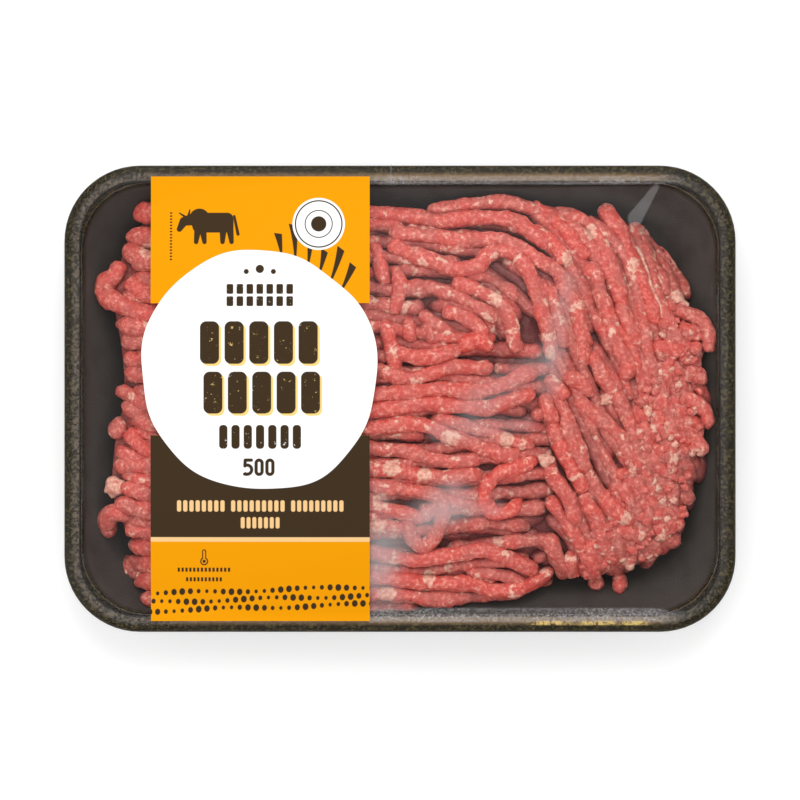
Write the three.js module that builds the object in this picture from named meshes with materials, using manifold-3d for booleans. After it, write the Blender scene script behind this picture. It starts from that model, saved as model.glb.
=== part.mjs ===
// A foam tray of minced meat, wrapped in clear film, with a label across the film.
// Millimetres, +Z up, +X along the tray's long side, the origin at the middle of the underside.
import * as THREE from "three";
import { mergeVertices } from "three/addons/utils/BufferGeometryUtils.js";
import Module from "manifold-3d";

const wasm = await Module();
wasm.setup();

// Driving dimensions of the pack
const packLength = 210;
const packWidth = 146.3;
const cornerRadius = 24;
const cornerTightening = 0.6; // the corner's radius lost for each millimetre further in
const trayHeight = 25;
const floorThickness = 4;
const filmThickness = 0.4;
const gap = 0.3; // between two pieces that touch
const domeHeight = 12; // how far the meat lifts the film above the rim
const domeReach = [99, 67]; // half sizes of the part of the film that is lifted
const domeSquareness = 4;
const domeFlatness = 2.4;
const seamHalfLength = 60; // the slit under the tray, between the film's two edges
const seamHalfWidth = 0.6;

// Driving dimensions of the meat
const strandRadius = 2.35;
const rowSpacing = 5;
const strandSides = 5;
const stride = 4; // between two places of a strand's route
const plainRingEvery = 20; // between two rings of a strand's mesh
const crumbSpacing = 9;
const coreDepth = 2.7; // how far the core lies below the top of the strands
const shoulderPower = 7; // how late the heap falls away towards its edge
const edgeRise = 5; // the heap's edge above the tray's wall
const sweepCentre = [17, 15]; // the middle of the arcs in which the upper rows turn downwards
const tightestSweep = 4; // the radius of the innermost arc
const sweepEnd = -67; // the heading, in degrees, that the arcs turn to
const blockLeft = 44; // where the right block's strands begin to cover the rows
const crumbsLeft = 80; // where the right block crumbles, at the pack's middle
const crumbsSlant = 0.35; // and how fast that line moves to the right with y
// How far the heap reaches from its middle, every 10 degrees from +X to +Y
const heapReach = [
  97.5, 99, 95.5, 93, 90.5, 77.5, 72, 66, 61.5, 60, 62.5, 66.5, 72, 81, 96, 100, 99, 92,
  90, 94.5, 99, 98.5, 100, 84, 75, 70, 67, 66, 66.5, 67.5, 72.5, 75, 94, 100, 99, 98,
];
// Strands that lie on top of the others, as [x, y] places
const topStrands = [
  [[45.3, -15], [31.5, -20], [26, -28], [28.5, -35.4], [37, -36], [43.7, -31.7]],
  [[13.4, -34.1], [12.5, -42.6], [7.2, -46.6], [1.9, -42.6], [1.2, -36.3]],
  [[17, 14.5], [23.4, 18.3], [30, 13.6]],
  [[-4.7, 48], [9.4, 42.7], [20.3, 39.6], [28.1, 46], [34, 45.5], [40, 38.6], [44, 27.7], [46.2, 16.8]],
  [[62.5, 60.5], [66.5, 54.5], [70.3, 47], [75, 34], [79.6, 21.5]],
  [[80, 15.5], [86, 12], [92, 10]],
];

// Driving dimensions of the label
const labelLeft = -78;
const labelRight = -9.5;
const labelHalfHeight = 69.6;
const labelThickness = 0.3;
const discCentre = [-43.9, 9.6];
const discRadius = 37.3;
const upperPanelBottom = 24;
const lowerPanelTop = -11.4;

// Levels worked out from them
const trayBase = filmThickness + gap;
const rimTop = trayBase + trayHeight;
const filmInside = rimTop + gap;
const filmOutside = filmInside + filmThickness;
const trayInset = filmThickness + gap;

const degrees = Math.PI / 180;
const clamp01 = (v) => Math.min(1, Math.max(0, v));
const smooth = (from, to, v) => {
  const t = clamp01((v - from) / (to - from));
  return t * t * (3 - 2 * t);
};

// A repeatable stream of numbers from 0 to 1
function seededRandom(seed) {
  let state = seed;
  return () => {
    state = (state * 1664525 + 1013904223) % 4294967296;
    return state / 4294967296;
  };
}

// How many mesh points a ring has along a long side, a short side and a corner
const plainRing = { long: 1, short: 1, corner: 5 };
const domedRing = { long: 6, short: 4, corner: 5 };

// The points of a rounded rectangle, anticlockwise, with the same count for any size
function ringPoints(halfLength, halfWidth, radius, counts) {
  const sides = [
    [1, 1, 0, counts.long],
    [-1, 1, 90, counts.short],
    [-1, -1, 180, counts.long],
    [1, -1, 270, counts.short],
  ];
  const points = [];
  sides.forEach(([signX, signY, startAngle, along], side) => {
    const centre = [signX * (halfLength - radius), signY * (halfWidth - radius)];
    for (let i = 0; i <= counts.corner; i++) {
      const a = (startAngle + (90 * i) / counts.corner) * degrees;
      points.push([centre[0] + radius * Math.cos(a), centre[1] + radius * Math.sin(a)]);
    }
    const [nextX, nextY, nextAngle] = sides[(side + 1) % 4];
    const from = points[points.length - 1];
    const to = [
      nextX * (halfLength - radius) + radius * Math.cos(nextAngle * degrees),
      nextY * (halfWidth - radius) + radius * Math.sin(nextAngle * degrees),
    ];
    for (let i = 1; i < along; i++) {
      const t = i / along;
      points.push([from[0] + t * (to[0] - from[0]), from[1] + t * (to[1] - from[1])]);
    }
  });
  return points;
}

// A closed solid from rings stacked along a profile, which starts and ends on the axis.
// Each ring is { size: [half length, half width, corner radius], z }, and z may be a function of x and y.
function ringSolid(rings, counts) {
  const around = ringPoints(1, 1, 0.5, counts).length;
  const profile = rings.map((ring, i) => new THREE.Vector2(ring.size ? 1 : 0, i));
  const geometry = new THREE.LatheGeometry(profile, around);
  const position = geometry.getAttribute("position");
  rings.forEach((ring, j) => {
    const points = ring.size ? ringPoints(...ring.size, counts) : null;
    for (let i = 0; i <= around; i++) {
      const [x, y] = points ? points[i % around] : [0, 0];
      const z = typeof ring.z === "function" ? ring.z(x, y) : ring.z;
      position.setXYZ(i * rings.length + j, x, y, z);
    }
  });
  return solidOf(geometry);
}

// A manifold-3d solid from a three.js geometry, turned the right way round
function solidOf(geometry) {
  const bare = new THREE.BufferGeometry();
  bare.setAttribute("position", geometry.getAttribute("position"));
  bare.setIndex(geometry.index);
  const merged = mergeVertices(bare, 1e-4);
  const triangles = [];
  for (let i = 0; i < merged.index.count; i += 3) {
    const [a, b, c] = [0, 1, 2].map((k) => merged.index.getX(i + k));
    if (a !== b && b !== c && c !== a) triangles.push(a, b, c);
  }
  const build = (order) =>
    new wasm.Manifold(
      new wasm.Mesh({
        numProp: 3,
        vertProperties: new Float32Array(merged.getAttribute("position").array),
        triVerts: new Uint32Array(order),
      }),
    );
  const solid = build(triangles);
  return solid.volume() > 0 ? solid : build(triangles.reverse());
}

// A three.js geometry from a manifold-3d solid
function geometryOf(solid) {
  const mesh = solid.getMesh();
  const geometry = new THREE.BufferGeometry();
  geometry.setAttribute("position", new THREE.BufferAttribute(mesh.vertProperties, 3));
  geometry.setIndex(new THREE.BufferAttribute(mesh.triVerts, 1));
  return geometry;
}

// The rounded rectangle that lies a given distance inside the pack's outline
function insetSize(inset) {
  return [
    packLength / 2 - inset,
    packWidth / 2 - inset,
    cornerRadius - cornerTightening * inset,
  ];
}

// The flat top of the rim lies between these distances from the pack's outline
const rimInnerInset = 6;
const rimOuterInset = 2.8;

// A rounded rectangle of the dome's proportions, from nothing at 0 to the rim's inner edge at 1
function domeSize(share) {
  return insetSize(rimInnerInset).map((v) => v * share);
}

// The film's height above the rim where the meat lifts it
function domeLift(x, y) {
  const across = (Math.abs(x) / domeReach[0]) ** domeSquareness;
  const along = (Math.abs(y) / domeReach[1]) ** domeSquareness;
  const share = (across + along) ** (1 / domeSquareness);
  return domeHeight * (1 - Math.min(1, share) ** domeFlatness);
}

// Foam tray: a base with a shallow recess, sloping walls, and a lip with a rounded edge
const trayOutside = [
  [26, 0.8],
  [24.5, 0],
  [17.8, 0],
  [16.2, 1.6],
  [4.2, 19.6],
  [3.4, 20.6],
  [1.1, 20.9],
  [0.3, 21.7],
  [0, 22.9],
  [0.25, 23.9],
  [1.0, 24.6],
  [2.4, 25],
];
const trayInside = [
  [4.6, 25],
  [5.7, 24.4],
  [6.2, 23.2],
  [17.0, 8.0],
  [18.6, 6.0],
  [21.0, 4.6],
  [25.0, floorThickness],
];
// The ring round the tray at a point of its profile, moved inwards and upwards by a clearance
const ringAt = ([inset, height], clearance = 0) => ({
  size: insetSize(inset + trayInset + 2 * clearance),
  z: trayBase + height + clearance,
});

function traySolid() {
  return ringSolid(
    [
      { z: trayBase + trayOutside[0][1] },
      ...trayOutside.map((point) => ringAt(point)),
      ...trayInside.map((point) => ringAt(point)),
      { z: trayBase + floorThickness },
    ],
    plainRing,
  );
}

// The line that a taut film takes round the tray, from the rim's top to the underside
const wrapLine = [
  [5.6, 25],
  [2.3, 25],
  [0.9, 24.65],
  [0.15, 23.9],
  [0, 22.9],
  [0.2, 21.5],
  [15.9, 1.4],
  [17.6, 0],
];

// That line moved outwards by a distance, as [inset, height]
function movedLine(line, distance) {
  return line.map((point, i) => {
    const before = line[Math.max(0, i - 1)];
    const after = line[Math.min(line.length - 1, i + 1)];
    const normals = [
      [before, point],
      [point, after],
    ]
      .filter(([p, q]) => p !== q)
      .map(([p, q]) => new THREE.Vector2(q[1] - p[1], p[0] - q[0]).normalize());
    if (i === 0) normals.push(new THREE.Vector2(0, 1));
    if (i === line.length - 1) normals.push(new THREE.Vector2(0, -1));
    const mean = normals.reduce((a, b) => a.clone().add(b)).normalize();
    const stretch = distance / mean.dot(normals[0]);
    return [point[0] + mean.x * stretch, point[1] + mean.y * stretch];
  });
}

// Rings of the film's domed top at a height above the rim, from the middle outwards
const domeShares = [0.2, 0.42, 0.63, 0.8, 0.93];
function domeRings(height) {
  return [
    { z: height + domeHeight },
    ...domeShares.map((share) => ({
      size: domeSize(share),
      z: (x, y) => height + domeLift(x, y),
    })),
  ];
}

// Clear film: a thin skin over the dome, round the rim and under the tray, with a slit at the seam
function filmSolid() {
  const wrapped = (distance) => movedLine(wrapLine, distance).map((point) => ringAt(point));
  const seam = [seamHalfLength, seamHalfWidth, seamHalfWidth];
  return ringSolid(
    [
      ...domeRings(filmOutside),
      ...wrapped(gap + filmThickness),
      { size: seam, z: 0 },
      { size: seam, z: filmThickness },
      ...wrapped(gap).reverse(),
      ...domeRings(filmInside).reverse(),
    ],
    domedRing,
  );
}

// The space that the meat may fill: clear of the tray and of the film
function meatSpace() {
  const walls = trayInside.slice(1).reverse();
  return ringSolid(
    [
      { z: trayBase + floorThickness + gap },
      ...walls.map((point) => ringAt(point, gap)),
      ...domeRings(filmInside - gap).reverse(),
    ],
    domedRing,
  );
}

// The heap's reach in one direction, by a smooth curve through the measured values
function reachAt(angle) {
  const n = heapReach.length;
  const turn = (((angle / (2 * Math.PI)) % 1) + 1) % 1;
  const at = turn * n;
  const i = Math.floor(at);
  const t = at - i;
  const [a, b, c, d] = [n - 1, 0, 1, 2].map((k) => heapReach[(i + k) % n]);
  const bend = -a + 3 * b - 3 * c + d;
  return b + 0.5 * t * (c - a + t * (2 * a - 5 * b + 4 * c - d + t * bend));
}

// 0 at the heap's middle and 1 at its edge
const heapShare = (x, y) => Math.hypot(x, y) / reachAt(Math.atan2(y, x));

// The height of the tray's inner wall at a place
function wallHeight(x, y) {
  const dx = Math.max(0, Math.abs(x) - packLength / 2 + cornerRadius);
  const dy = Math.max(0, Math.abs(y) - packWidth / 2 + cornerRadius);
  const straight = Math.min(packLength / 2 - Math.abs(x), packWidth / 2 - Math.abs(y));
  const inset = (dx && dy ? cornerRadius - Math.hypot(dx, dy) : straight) - trayInset;
  const next = trayInside.findIndex(([at]) => at > inset);
  if (next < 1) return next ? trayBase + floorThickness : rimTop;
  const [[fromInset, fromHeight], [toInset, toHeight]] = [trayInside[next - 1], trayInside[next]];
  const t = (inset - fromInset) / (toInset - fromInset);
  return trayBase + fromHeight + t * (toHeight - fromHeight);
}

// The height of the heap's top, which the highest strands touch
function heapTop(x, y) {
  const share = clamp01(heapShare(x, y));
  const toEdge = share > 0.01 ? 1 / share : 1;
  const middle = filmInside - gap + domeLift(x, y);
  const edge = Math.min(middle, wallHeight(x * toEdge, y * toEdge) + edgeRise);
  return edge + (middle - edge) * Math.sqrt(1 - share ** shoulderPower);
}

// The solid body of the heap below its strands
function heapCore() {
  const around = 36;
  const rings = [0, 0.3, 0.55, 0.75, 0.87, 0.95, 0.96];
  const profile = [...rings, 0].map((share, i) => new THREE.Vector2(share ? 1 : 0, i));
  const geometry = new THREE.LatheGeometry(profile, around);
  const position = geometry.getAttribute("position");
  for (let i = 0; i <= around; i++) {
    const angle = (2 * Math.PI * i) / around;
    profile.forEach((_, j) => {
      const share = rings[j] ?? 0;
      const [x, y] = [Math.cos(angle), Math.sin(angle)].map((v) => v * share * reachAt(angle));
      const isTop = j < rings.length - 1;
      position.setXYZ(i * profile.length + j, x, y, isTop ? heapTop(x, y) - coreDepth : trayBase);
    });
  }
  return solidOf(geometry);
}

// A place in the rows of strands: row is its height at the left, along its distance to the right.
// Rows above the sweep's centre turn round it in parallel arcs and run on at the sweep's end heading.
function sweptPlace(row, along) {
  const wave = 2 * Math.sin(along / 23 + row / 19 + 1) + 0.9 * Math.sin(along / 9.5 + row / 6);
  const radius = row - sweepCentre[1];
  const past = along - sweepCentre[0];
  if (radius < tightestSweep || past < 0) return [along, row + wave];
  const turn = Math.min(past / radius, -sweepEnd * degrees);
  const straight = Math.max(0, past - radius * turn);
  const reach = radius + wave;
  return [
    sweepCentre[0] + reach * Math.sin(turn) + straight * Math.cos(turn),
    sweepCentre[1] + reach * Math.cos(turn) - straight * Math.sin(turn),
  ];
}

// A place in the right block: lane is its distance from the sweep's centre
function blockPlace(lane, along) {
  const radius = Math.max(lane, tightestSweep);
  const [x, y] = sweptPlace(sweepCentre[1] + radius, sweepCentre[0] + along);
  const aside = lane - radius;
  return [x - aside * Math.sin(sweepEnd * degrees), y + aside * Math.cos(sweepEnd * degrees)];
}

// The left and the lower side of the right block
const inBlock = ([x, y]) => x > blockLeft + 5 * smooth(-30, -55, y) + 1.5 * Math.sin(y / 6);
// The right block's crumbling side, where no long strands are left
const inCrumbs = ([x, y]) => x > crumbsLeft + crumbsSlant * y;

// The places of a row or a lane that lie inside the heap
function placesAlong(placeAt, to, keep) {
  const places = [];
  for (let along = -100; along < to; along += stride) {
    const place = placeAt(along);
    if (heapShare(...place) < 0.985 && keep(place)) places.push(place);
  }
  return places;
}

// A row cut into strands of different length, each at its own depth
function strandsOf(places, random, shortest, spread) {
  const strands = [];
  for (let from = 0; from < places.length - 2; ) {
    const to = from + Math.round((shortest + spread * random()) / stride);
    strands.push({
      places: places.slice(from, to + 1),
      depth: 0.3 + 1.5 * random(),
      radius: strandRadius * (0.93 + 0.14 * random()),
    });
    from = to;
  }
  return strands;
}

// Strands laid side by side across the left and the middle
function rowStrands(random) {
  const strands = [];
  for (let row = -63; row < 70; row += rowSpacing) {
    const level = row + 1.2 * (random() - 0.5);
    const radius = row - sweepCentre[1];
    const isSwept = radius > tightestSweep;
    const end = isSwept ? sweepCentre[0] + 1.2 * radius + 8 * random() : blockLeft + 5 * random();
    const places = placesAlong((along) => sweptPlace(level, along), end, ([x]) => x < blockLeft + 5);
    strands.push(...strandsOf(places, random, 60, 90));
  }
  return strands;
}

// Strands side by side down the right block
function blockStrands(random) {
  const strands = [];
  for (let lane = -12; lane < 84; lane += rowSpacing) {
    const level = lane + 1.2 * (random() - 0.5);
    const keep = (place) => inBlock(place) && !inCrumbs(place);
    const places = placesAlong((along) => blockPlace(level, along), 190, keep);
    strands.push(...strandsOf(places, random, 40, 50));
  }
  return strands;
}

// A strand as a tube of few sides along its route, with its two ends dipping into the heap
function strandSolid({ places, depth, radius, ringEvery = plainRingEvery }) {
  const last = places.length - 1;
  const path = new THREE.CatmullRomCurve3(
    places.map(([x, y], i) => {
      const dip = i === 0 || i === last ? 0.6 * radius : 0;
      return new THREE.Vector3(x, y, heapTop(x, y) - radius - depth - dip);
    }),
  );
  const corners = Array.from({ length: strandSides }, (_, i) => {
    const angle = (2 * Math.PI * i) / strandSides;
    return new THREE.Vector2(radius * Math.cos(angle), radius * Math.sin(angle));
  });
  return solidOf(
    new THREE.ExtrudeGeometry(new THREE.Shape(corners), {
      steps: Math.max(2, Math.round(path.getLength() / ringEvery)),
      extrudePath: path,
      bevelEnabled: false,
    }),
  );
}

// A crumb of meat as a stretched lump with flat sides
function crumbSolid([x, y], random) {
  const size = 4 + 1.8 * random();
  const lump = new THREE.IcosahedronGeometry(size, 0);
  lump.scale(1.35, 0.95, 0.8);
  lump.rotateZ(Math.PI * random());
  lump.translate(x, y, heapTop(x, y) - 0.85 * size);
  return solidOf(mergeVertices(lump.deleteAttribute("normal").deleteAttribute("uv")));
}

// Crumbs over the right block's crumbling side
function crumbs(random) {
  const solids = [];
  for (let x = 57; x < 100; x += crumbSpacing) {
    for (let y = -62; y < 40; y += crumbSpacing) {
      const place = [x + 3 * (random() - 0.5), y + 4 * (random() - 0.5)];
      if (inCrumbs(place) && heapShare(...place) < 0.95) solids.push(crumbSolid(place, random));
    }
  }
  return solids;
}

// Minced meat: the core with its strands fused on, cut to the space between tray and film
function meatSolid() {
  const random = seededRandom(5);
  const radius = 1.05 * strandRadius;
  const onTop = topStrands.map((places) => ({ places, depth: 0, radius, ringEvery: 5 }));
  const strands = [...rowStrands(random), ...blockStrands(random), ...onTop];
  const tubes = strands.filter(({ places }) => places.length > 2).map(strandSolid);
  const joined = wasm.Manifold.union([heapCore(), ...tubes, ...crumbs(random)]);
  const cut = joined.intersect(meatSpace());
  return cut.decompose().sort((a, b) => b.volume() - a.volume())[0];
}

// The edge of the label's disc, cut as if by hand
function discEdge() {
  const corners = 40;
  return Array.from({ length: corners }, (_, i) => {
    const a = (2 * Math.PI * i) / corners;
    const uneven = 0.6 * Math.cos(a + 1.1) + 0.5 * Math.sin(5 * a + 0.8) + 0.4 * Math.cos(8 * a + 3.1);
    const reach = discRadius + uneven;
    return [discCentre[0] + reach * Math.cos(a), discCentre[1] + reach * Math.sin(a)];
  });
}

// Label: two panels joined by a disc, lying on the film
function labelOutline() {
  const panelEdge = (bottom, top) => [
    [labelLeft, bottom],
    [labelRight, bottom],
    [labelRight, top],
    [labelLeft, top],
  ];
  const outlines = [
    discEdge(),
    panelEdge(upperPanelBottom, labelHalfHeight),
    panelEdge(-labelHalfHeight, lowerPanelTop),
  ];
  return outlines
    .map((corners) => {
      const shape = new THREE.Shape(corners.map(([x, y]) => new THREE.Vector2(x, y)));
      return solidOf(new THREE.ExtrudeGeometry(shape, { depth: 2 * filmOutside, bevelEnabled: false }));
    })
    .reduce((a, b) => a.add(b));
}

function labelSolid() {
  const onFilm = (lift) => [
    ...domeRings(filmOutside + lift),
    { size: insetSize(rimInnerInset), z: filmOutside + lift },
    { size: insetSize(rimOuterInset), z: filmOutside + lift },
  ];
  const sheet = ringSolid([...onFilm(gap), ...onFilm(gap + labelThickness).reverse()], domedRing);
  return sheet.intersect(labelOutline());
}

// The pack as a scene graph
const finish = (color, roughness, extra = {}) =>
  new THREE.MeshStandardMaterial({ color, roughness, metalness: 0, ...extra });

const pack = new THREE.Group();
function addPiece(name, solid, material) {
  const mesh = new THREE.Mesh(geometryOf(solid), material);
  mesh.name = name;
  pack.add(mesh);
}

addPiece("tray", traySolid(), finish(0x33302d, 0.6));
addPiece("minced_meat", meatSolid(), finish(0xc5605a, 0.45));
addPiece("film", filmSolid(), finish(0xffffff, 0.08, { transparent: true, opacity: 0.15 }));
addPiece("label", labelSolid(), finish(0xf6a700, 0.4));

export default pack;
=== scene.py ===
"""A foam tray of minced meat under clear film, with a printed label across the film.

Lengths are in millimetres and turned into metres where a mesh, a camera or a light is made.
"""
import itertools
import math

import bmesh
import bpy
import numpy as np
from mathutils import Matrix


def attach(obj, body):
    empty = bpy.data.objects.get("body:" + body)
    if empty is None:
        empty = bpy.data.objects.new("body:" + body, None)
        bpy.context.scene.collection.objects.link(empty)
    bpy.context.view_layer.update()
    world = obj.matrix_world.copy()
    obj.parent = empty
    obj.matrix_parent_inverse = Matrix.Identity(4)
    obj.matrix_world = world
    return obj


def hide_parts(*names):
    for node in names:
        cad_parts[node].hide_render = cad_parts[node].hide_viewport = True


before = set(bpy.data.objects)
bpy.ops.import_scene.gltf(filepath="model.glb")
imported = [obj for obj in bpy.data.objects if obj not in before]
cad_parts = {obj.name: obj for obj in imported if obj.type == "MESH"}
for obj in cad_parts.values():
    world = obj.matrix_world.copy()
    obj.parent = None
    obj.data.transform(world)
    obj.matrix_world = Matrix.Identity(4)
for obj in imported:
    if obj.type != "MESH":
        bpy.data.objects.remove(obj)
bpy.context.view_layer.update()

MM = 0.001
TAU = 2 * math.pi

# Sizes of the tray and the film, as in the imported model
PACK_LENGTH = 210.0
PACK_WIDTH = 146.3
CORNER_RADIUS = 24.0
CORNER_TIGHTENING = 0.6
TRAY_HEIGHT = 25.0
FLOOR_THICKNESS = 4.0
FILM_THICKNESS = 0.4
GAP = 0.3
TRAY_INSET = FILM_THICKNESS + GAP
TRAY_BASE = FILM_THICKNESS + GAP
RIM_TOP = TRAY_BASE + TRAY_HEIGHT
FILM_UNDER = RIM_TOP + GAP
FILM_OVER = FILM_UNDER + FILM_THICKNESS
DOME_HEIGHT = 12.0
DOME_REACH = (99.0, 67.0)
DOME_SQUARENESS = 4.0
DOME_FLATNESS = 2.4
RIM_INNER_INSET = 6.0
# How far from the middle the painted golden glint runs along the near rim
GLINT_LINE = 69.6

# Profiles as (inset from the tray's outline, height above its underside)
TRAY_OUTSIDE = [
    (24.5, 0.8), (23.6, 0.1), (22.6, 0), (18.2, 0), (17.0, 0.5), (16.2, 1.6), (4.4, 19.4), (3.6, 20.5),
    (2.4, 20.9), (1.1, 20.9), (0.3, 21.7), (0, 22.9), (0.25, 23.9), (1.0, 24.7), (2.4, 25),
]
TRAY_INSIDE = [(4.6, 25), (5.7, 24.4), (6.2, 23.2), (17.0, 8.0), (18.6, 6.0), (21.0, 4.6), (25.0, 4.0)]
WRAP_LINE = [
    (5.6, 25.5), (2.3, 25.5), (0.7, 25.1), (-0.3, 24.1), (-0.5, 22.9), (-0.3, 21.3),
    (15.5, 1.1), (17.4, -0.5),
]
FILM_PLEATS = 160
PLEAT_DEPTH = 0.3

# Sizes of the heap
STRAND_RADIUS = 2.35
ROW_SPACING = 4.9
SHOULDER_POWER = 7
EDGE_RISE = 5.0
SWEEP_CENTRE = (17.0, 15.0)
TIGHTEST_SWEEP = 4.0
SWEEP_END = math.radians(-67)
BLOCK_LEFT = 44.0
CRUMBS_LEFT = 80.0
CRUMBS_SLANT = 0.35
# How far above the heap's top a strand may stand, how far below it the painted shade on the meat is at its
# darkest, and how much further that is at the left end
PRESSED = 0.25
DARKEST_SHADE_DEPTH = 7.0
LEFT_SHADE_DEEPER = 4.0
# The core's depth below the top, and how many short strands and loose crumbs lie at the right end
BED_DEPTH = 5.8
CRUMB_STRANDS = 360
LOOSE_CRUMBS = 230
# How far the heap reaches from its middle, every 10 degrees from +X to +Y
HEAP_REACH = np.array([
    97.5, 99, 95.5, 93, 90.5, 77.5, 72, 66, 61.5, 60, 62.5, 66.5, 72, 81, 98, 102, 99, 92,
    90, 94.5, 99, 98.5, 100, 84, 75, 70, 67, 66, 66.5, 67.5, 72.5, 75, 88, 99, 99, 98,
])

# Sizes of the label
LABEL_LEFT = -77.3
LABEL_RIGHT = -9.4
LABEL_HALF_HEIGHT = 69.0
LABEL_THICKNESS = 0.3
LABEL_SHEET = (78.0, 142.0)
DISC_CENTRE = (-43.6, 8.8)
DISC_RADIUS = 37.1
# The waves of the disc's hand-cut edge: how many go round it, how deep, and where the first crest lies
DISC_WAVES = [(2, 0.5, -2.1), (4, 0.3, 2.4), (5, 0.4, 1.5), (8, 0.22, -3.0), (11, 0.14, 1.0)]
UPPER_PANEL_BOTTOM = 29.6
LOWER_PANEL_TOP = -11.3
CREAM_TOP = -42.9
CREAM_BOTTOM = -44.3
BADGE_CENTRE = (-25.2, 54.2)

# Folds that make the film milky, partly standing in for painted reflections of the studio light: a line's two
# ends, half its width at each, how soft it is and how milky
FOLDS_AND_REFLECTIONS = [
    (79.6, 66, 73, 56, 0.9, 2.4, 0.3, 0.12),
    (52, 38, 46, 4, 1.5, 3.2, 2.4, 0.13),
    (46, 14, 22, -3, 3, 4, 3.2, 0.13),
    (40, -8, 12, -10, 2, 3, 2.2, 0.14),
    (-6, -28, -5, -62, 3, 5, 4.0, 0.13),
    (16, -30, -10, -52, 5, 7, 4.0, 0.21),
    (30, -34, 8, -36, 2, 3, 2.6, 0.14),
    (-2.8, 74, -2.8, 66.5, 0.2, 0.2, 0.2, 0.2),
]


def smooth(start, end, v):
    """0 before start, 1 after end, and a smooth step between them."""
    t = np.clip((v - start) / (end - start), 0, 1)
    return t * t * (3 - 2 * t)


def linear(red, green, blue):
    """A colour read off a screen, from 0 to 255, as light."""
    part = [v / 255 for v in (red, green, blue)]
    return tuple(v / 12.92 if v <= 0.04045 else ((v + 0.055) / 1.055) ** 2.4 for v in part)


# Curves

def spline(a, b, c, d, t):
    """The place at t, from 0 to 1, on a smooth curve from b to c, whose neighbours are a and d."""
    return b + 0.5 * t * (c - a + t * (2 * a - 5 * b + 4 * c - d + t * (-a + 3 * b - 3 * c + d)))


def stretches(points):
    """Each stretch of a line with a neighbour at either side, as four points."""
    points = np.array(points, float)
    whole = np.vstack([2 * points[0] - points[1], points, 2 * points[-1] - points[-2]])
    return zip(whole, whole[1:], whole[2:], whole[3:])


# Unevenness

LATTICE = np.random.default_rng(8).random((32, 32, 32))


def lumps(points, size):
    """Soft random lumps from -1 to 1, of about the given size, at each point."""
    place = points / size + 97.3
    cell = np.floor(place).astype(int)
    t = place - cell
    t = t * t * (3 - 2 * t)
    total = np.zeros(len(points))
    for corner in itertools.product((0, 1), repeat=3):
        weight = np.prod(np.where(corner, t, 1 - t), axis=1)
        x, y, z = ((cell + corner) % 32).T
        total += weight * LATTICE[x, y, z]
    return 2 * total - 1


# The heap's form

def reach_at(angle):
    """How far the heap reaches in a direction, by a smooth curve through the measured values."""
    count = len(HEAP_REACH)
    at = np.mod(angle / TAU, 1) * count
    i = np.floor(at).astype(int)
    t = at - i
    a, b, c, d = (HEAP_REACH[(i + k) % count] for k in (-1, 0, 1, 2))
    return spline(a, b, c, d, t)


def heap_share(x, y):
    """0 at the heap's middle and 1 at its edge."""
    return np.hypot(x, y) / reach_at(np.arctan2(y, x))


def dome_lift(x, y):
    """How far the meat lifts the film above the rim."""
    across = (np.abs(x) / DOME_REACH[0]) ** DOME_SQUARENESS
    along = (np.abs(y) / DOME_REACH[1]) ** DOME_SQUARENESS
    share = np.minimum(1, (across + along) ** (1 / DOME_SQUARENESS))
    return DOME_HEIGHT * (1 - share ** DOME_FLATNESS)


def wall_height(x, y):
    """The height of the tray's inner wall at a place."""
    dx = np.abs(x) - PACK_LENGTH / 2
    dy = np.abs(y) - PACK_WIDTH / 2
    in_corner = (dx > -CORNER_RADIUS) & (dy > -CORNER_RADIUS)
    rounded = CORNER_RADIUS - np.hypot(dx + CORNER_RADIUS, dy + CORNER_RADIUS)
    inset = np.where(in_corner, rounded, np.minimum(-dx, -dy)) - TRAY_INSET
    insets, heights = np.array(TRAY_INSIDE).T
    return TRAY_BASE + np.interp(inset, insets, heights)


def heap_top(x, y):
    """The height of the heap's top, which the highest strands touch."""
    share = np.clip(heap_share(x, y), 0.01, 1)
    middle = FILM_UNDER - GAP + dome_lift(x, y)
    edge = np.minimum(middle, wall_height(x / share, y / share) + EDGE_RISE)
    return edge + (middle - edge) * np.sqrt(1 - share ** SHOULDER_POWER)


def swept_place(row, along):
    """A place in the rows of strands, whose upper ones turn round the sweep's centre."""
    wave = 2 * np.sin(along / 23 + row / 19 + 1) + 0.9 * np.sin(along / 9.5 + row / 6)
    radius = np.maximum(row - SWEEP_CENTRE[1], 0.001)
    past = along - SWEEP_CENTRE[0]
    turn = np.clip(past / radius, 0, -SWEEP_END)
    straight = np.maximum(0, past - radius * turn)
    reach = radius + wave
    swept_x = SWEEP_CENTRE[0] + reach * np.sin(turn) + straight * np.cos(turn)
    swept_y = SWEEP_CENTRE[1] + reach * np.cos(turn) - straight * np.sin(turn)
    level = (row - SWEEP_CENTRE[1] < TIGHTEST_SWEEP) | (past < 0)
    return np.where(level, along, swept_x), np.where(level, row + wave, swept_y)


def block_place(lane, along):
    """A place in the right block, by its distance from the sweep's centre."""
    radius = np.maximum(lane, TIGHTEST_SWEEP)
    x, y = swept_place(SWEEP_CENTRE[1] + radius, SWEEP_CENTRE[0] + along)
    aside = lane - radius
    return x - aside * math.sin(SWEEP_END), y + aside * math.cos(SWEEP_END)


def in_block(x, y):
    return x > BLOCK_LEFT + 5 * smooth(-30, -55, y) + 1.5 * np.sin(y / 6)


def in_crumbs(x, y):
    return x > CRUMBS_LEFT + CRUMBS_SLANT * y


# Strands

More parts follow.
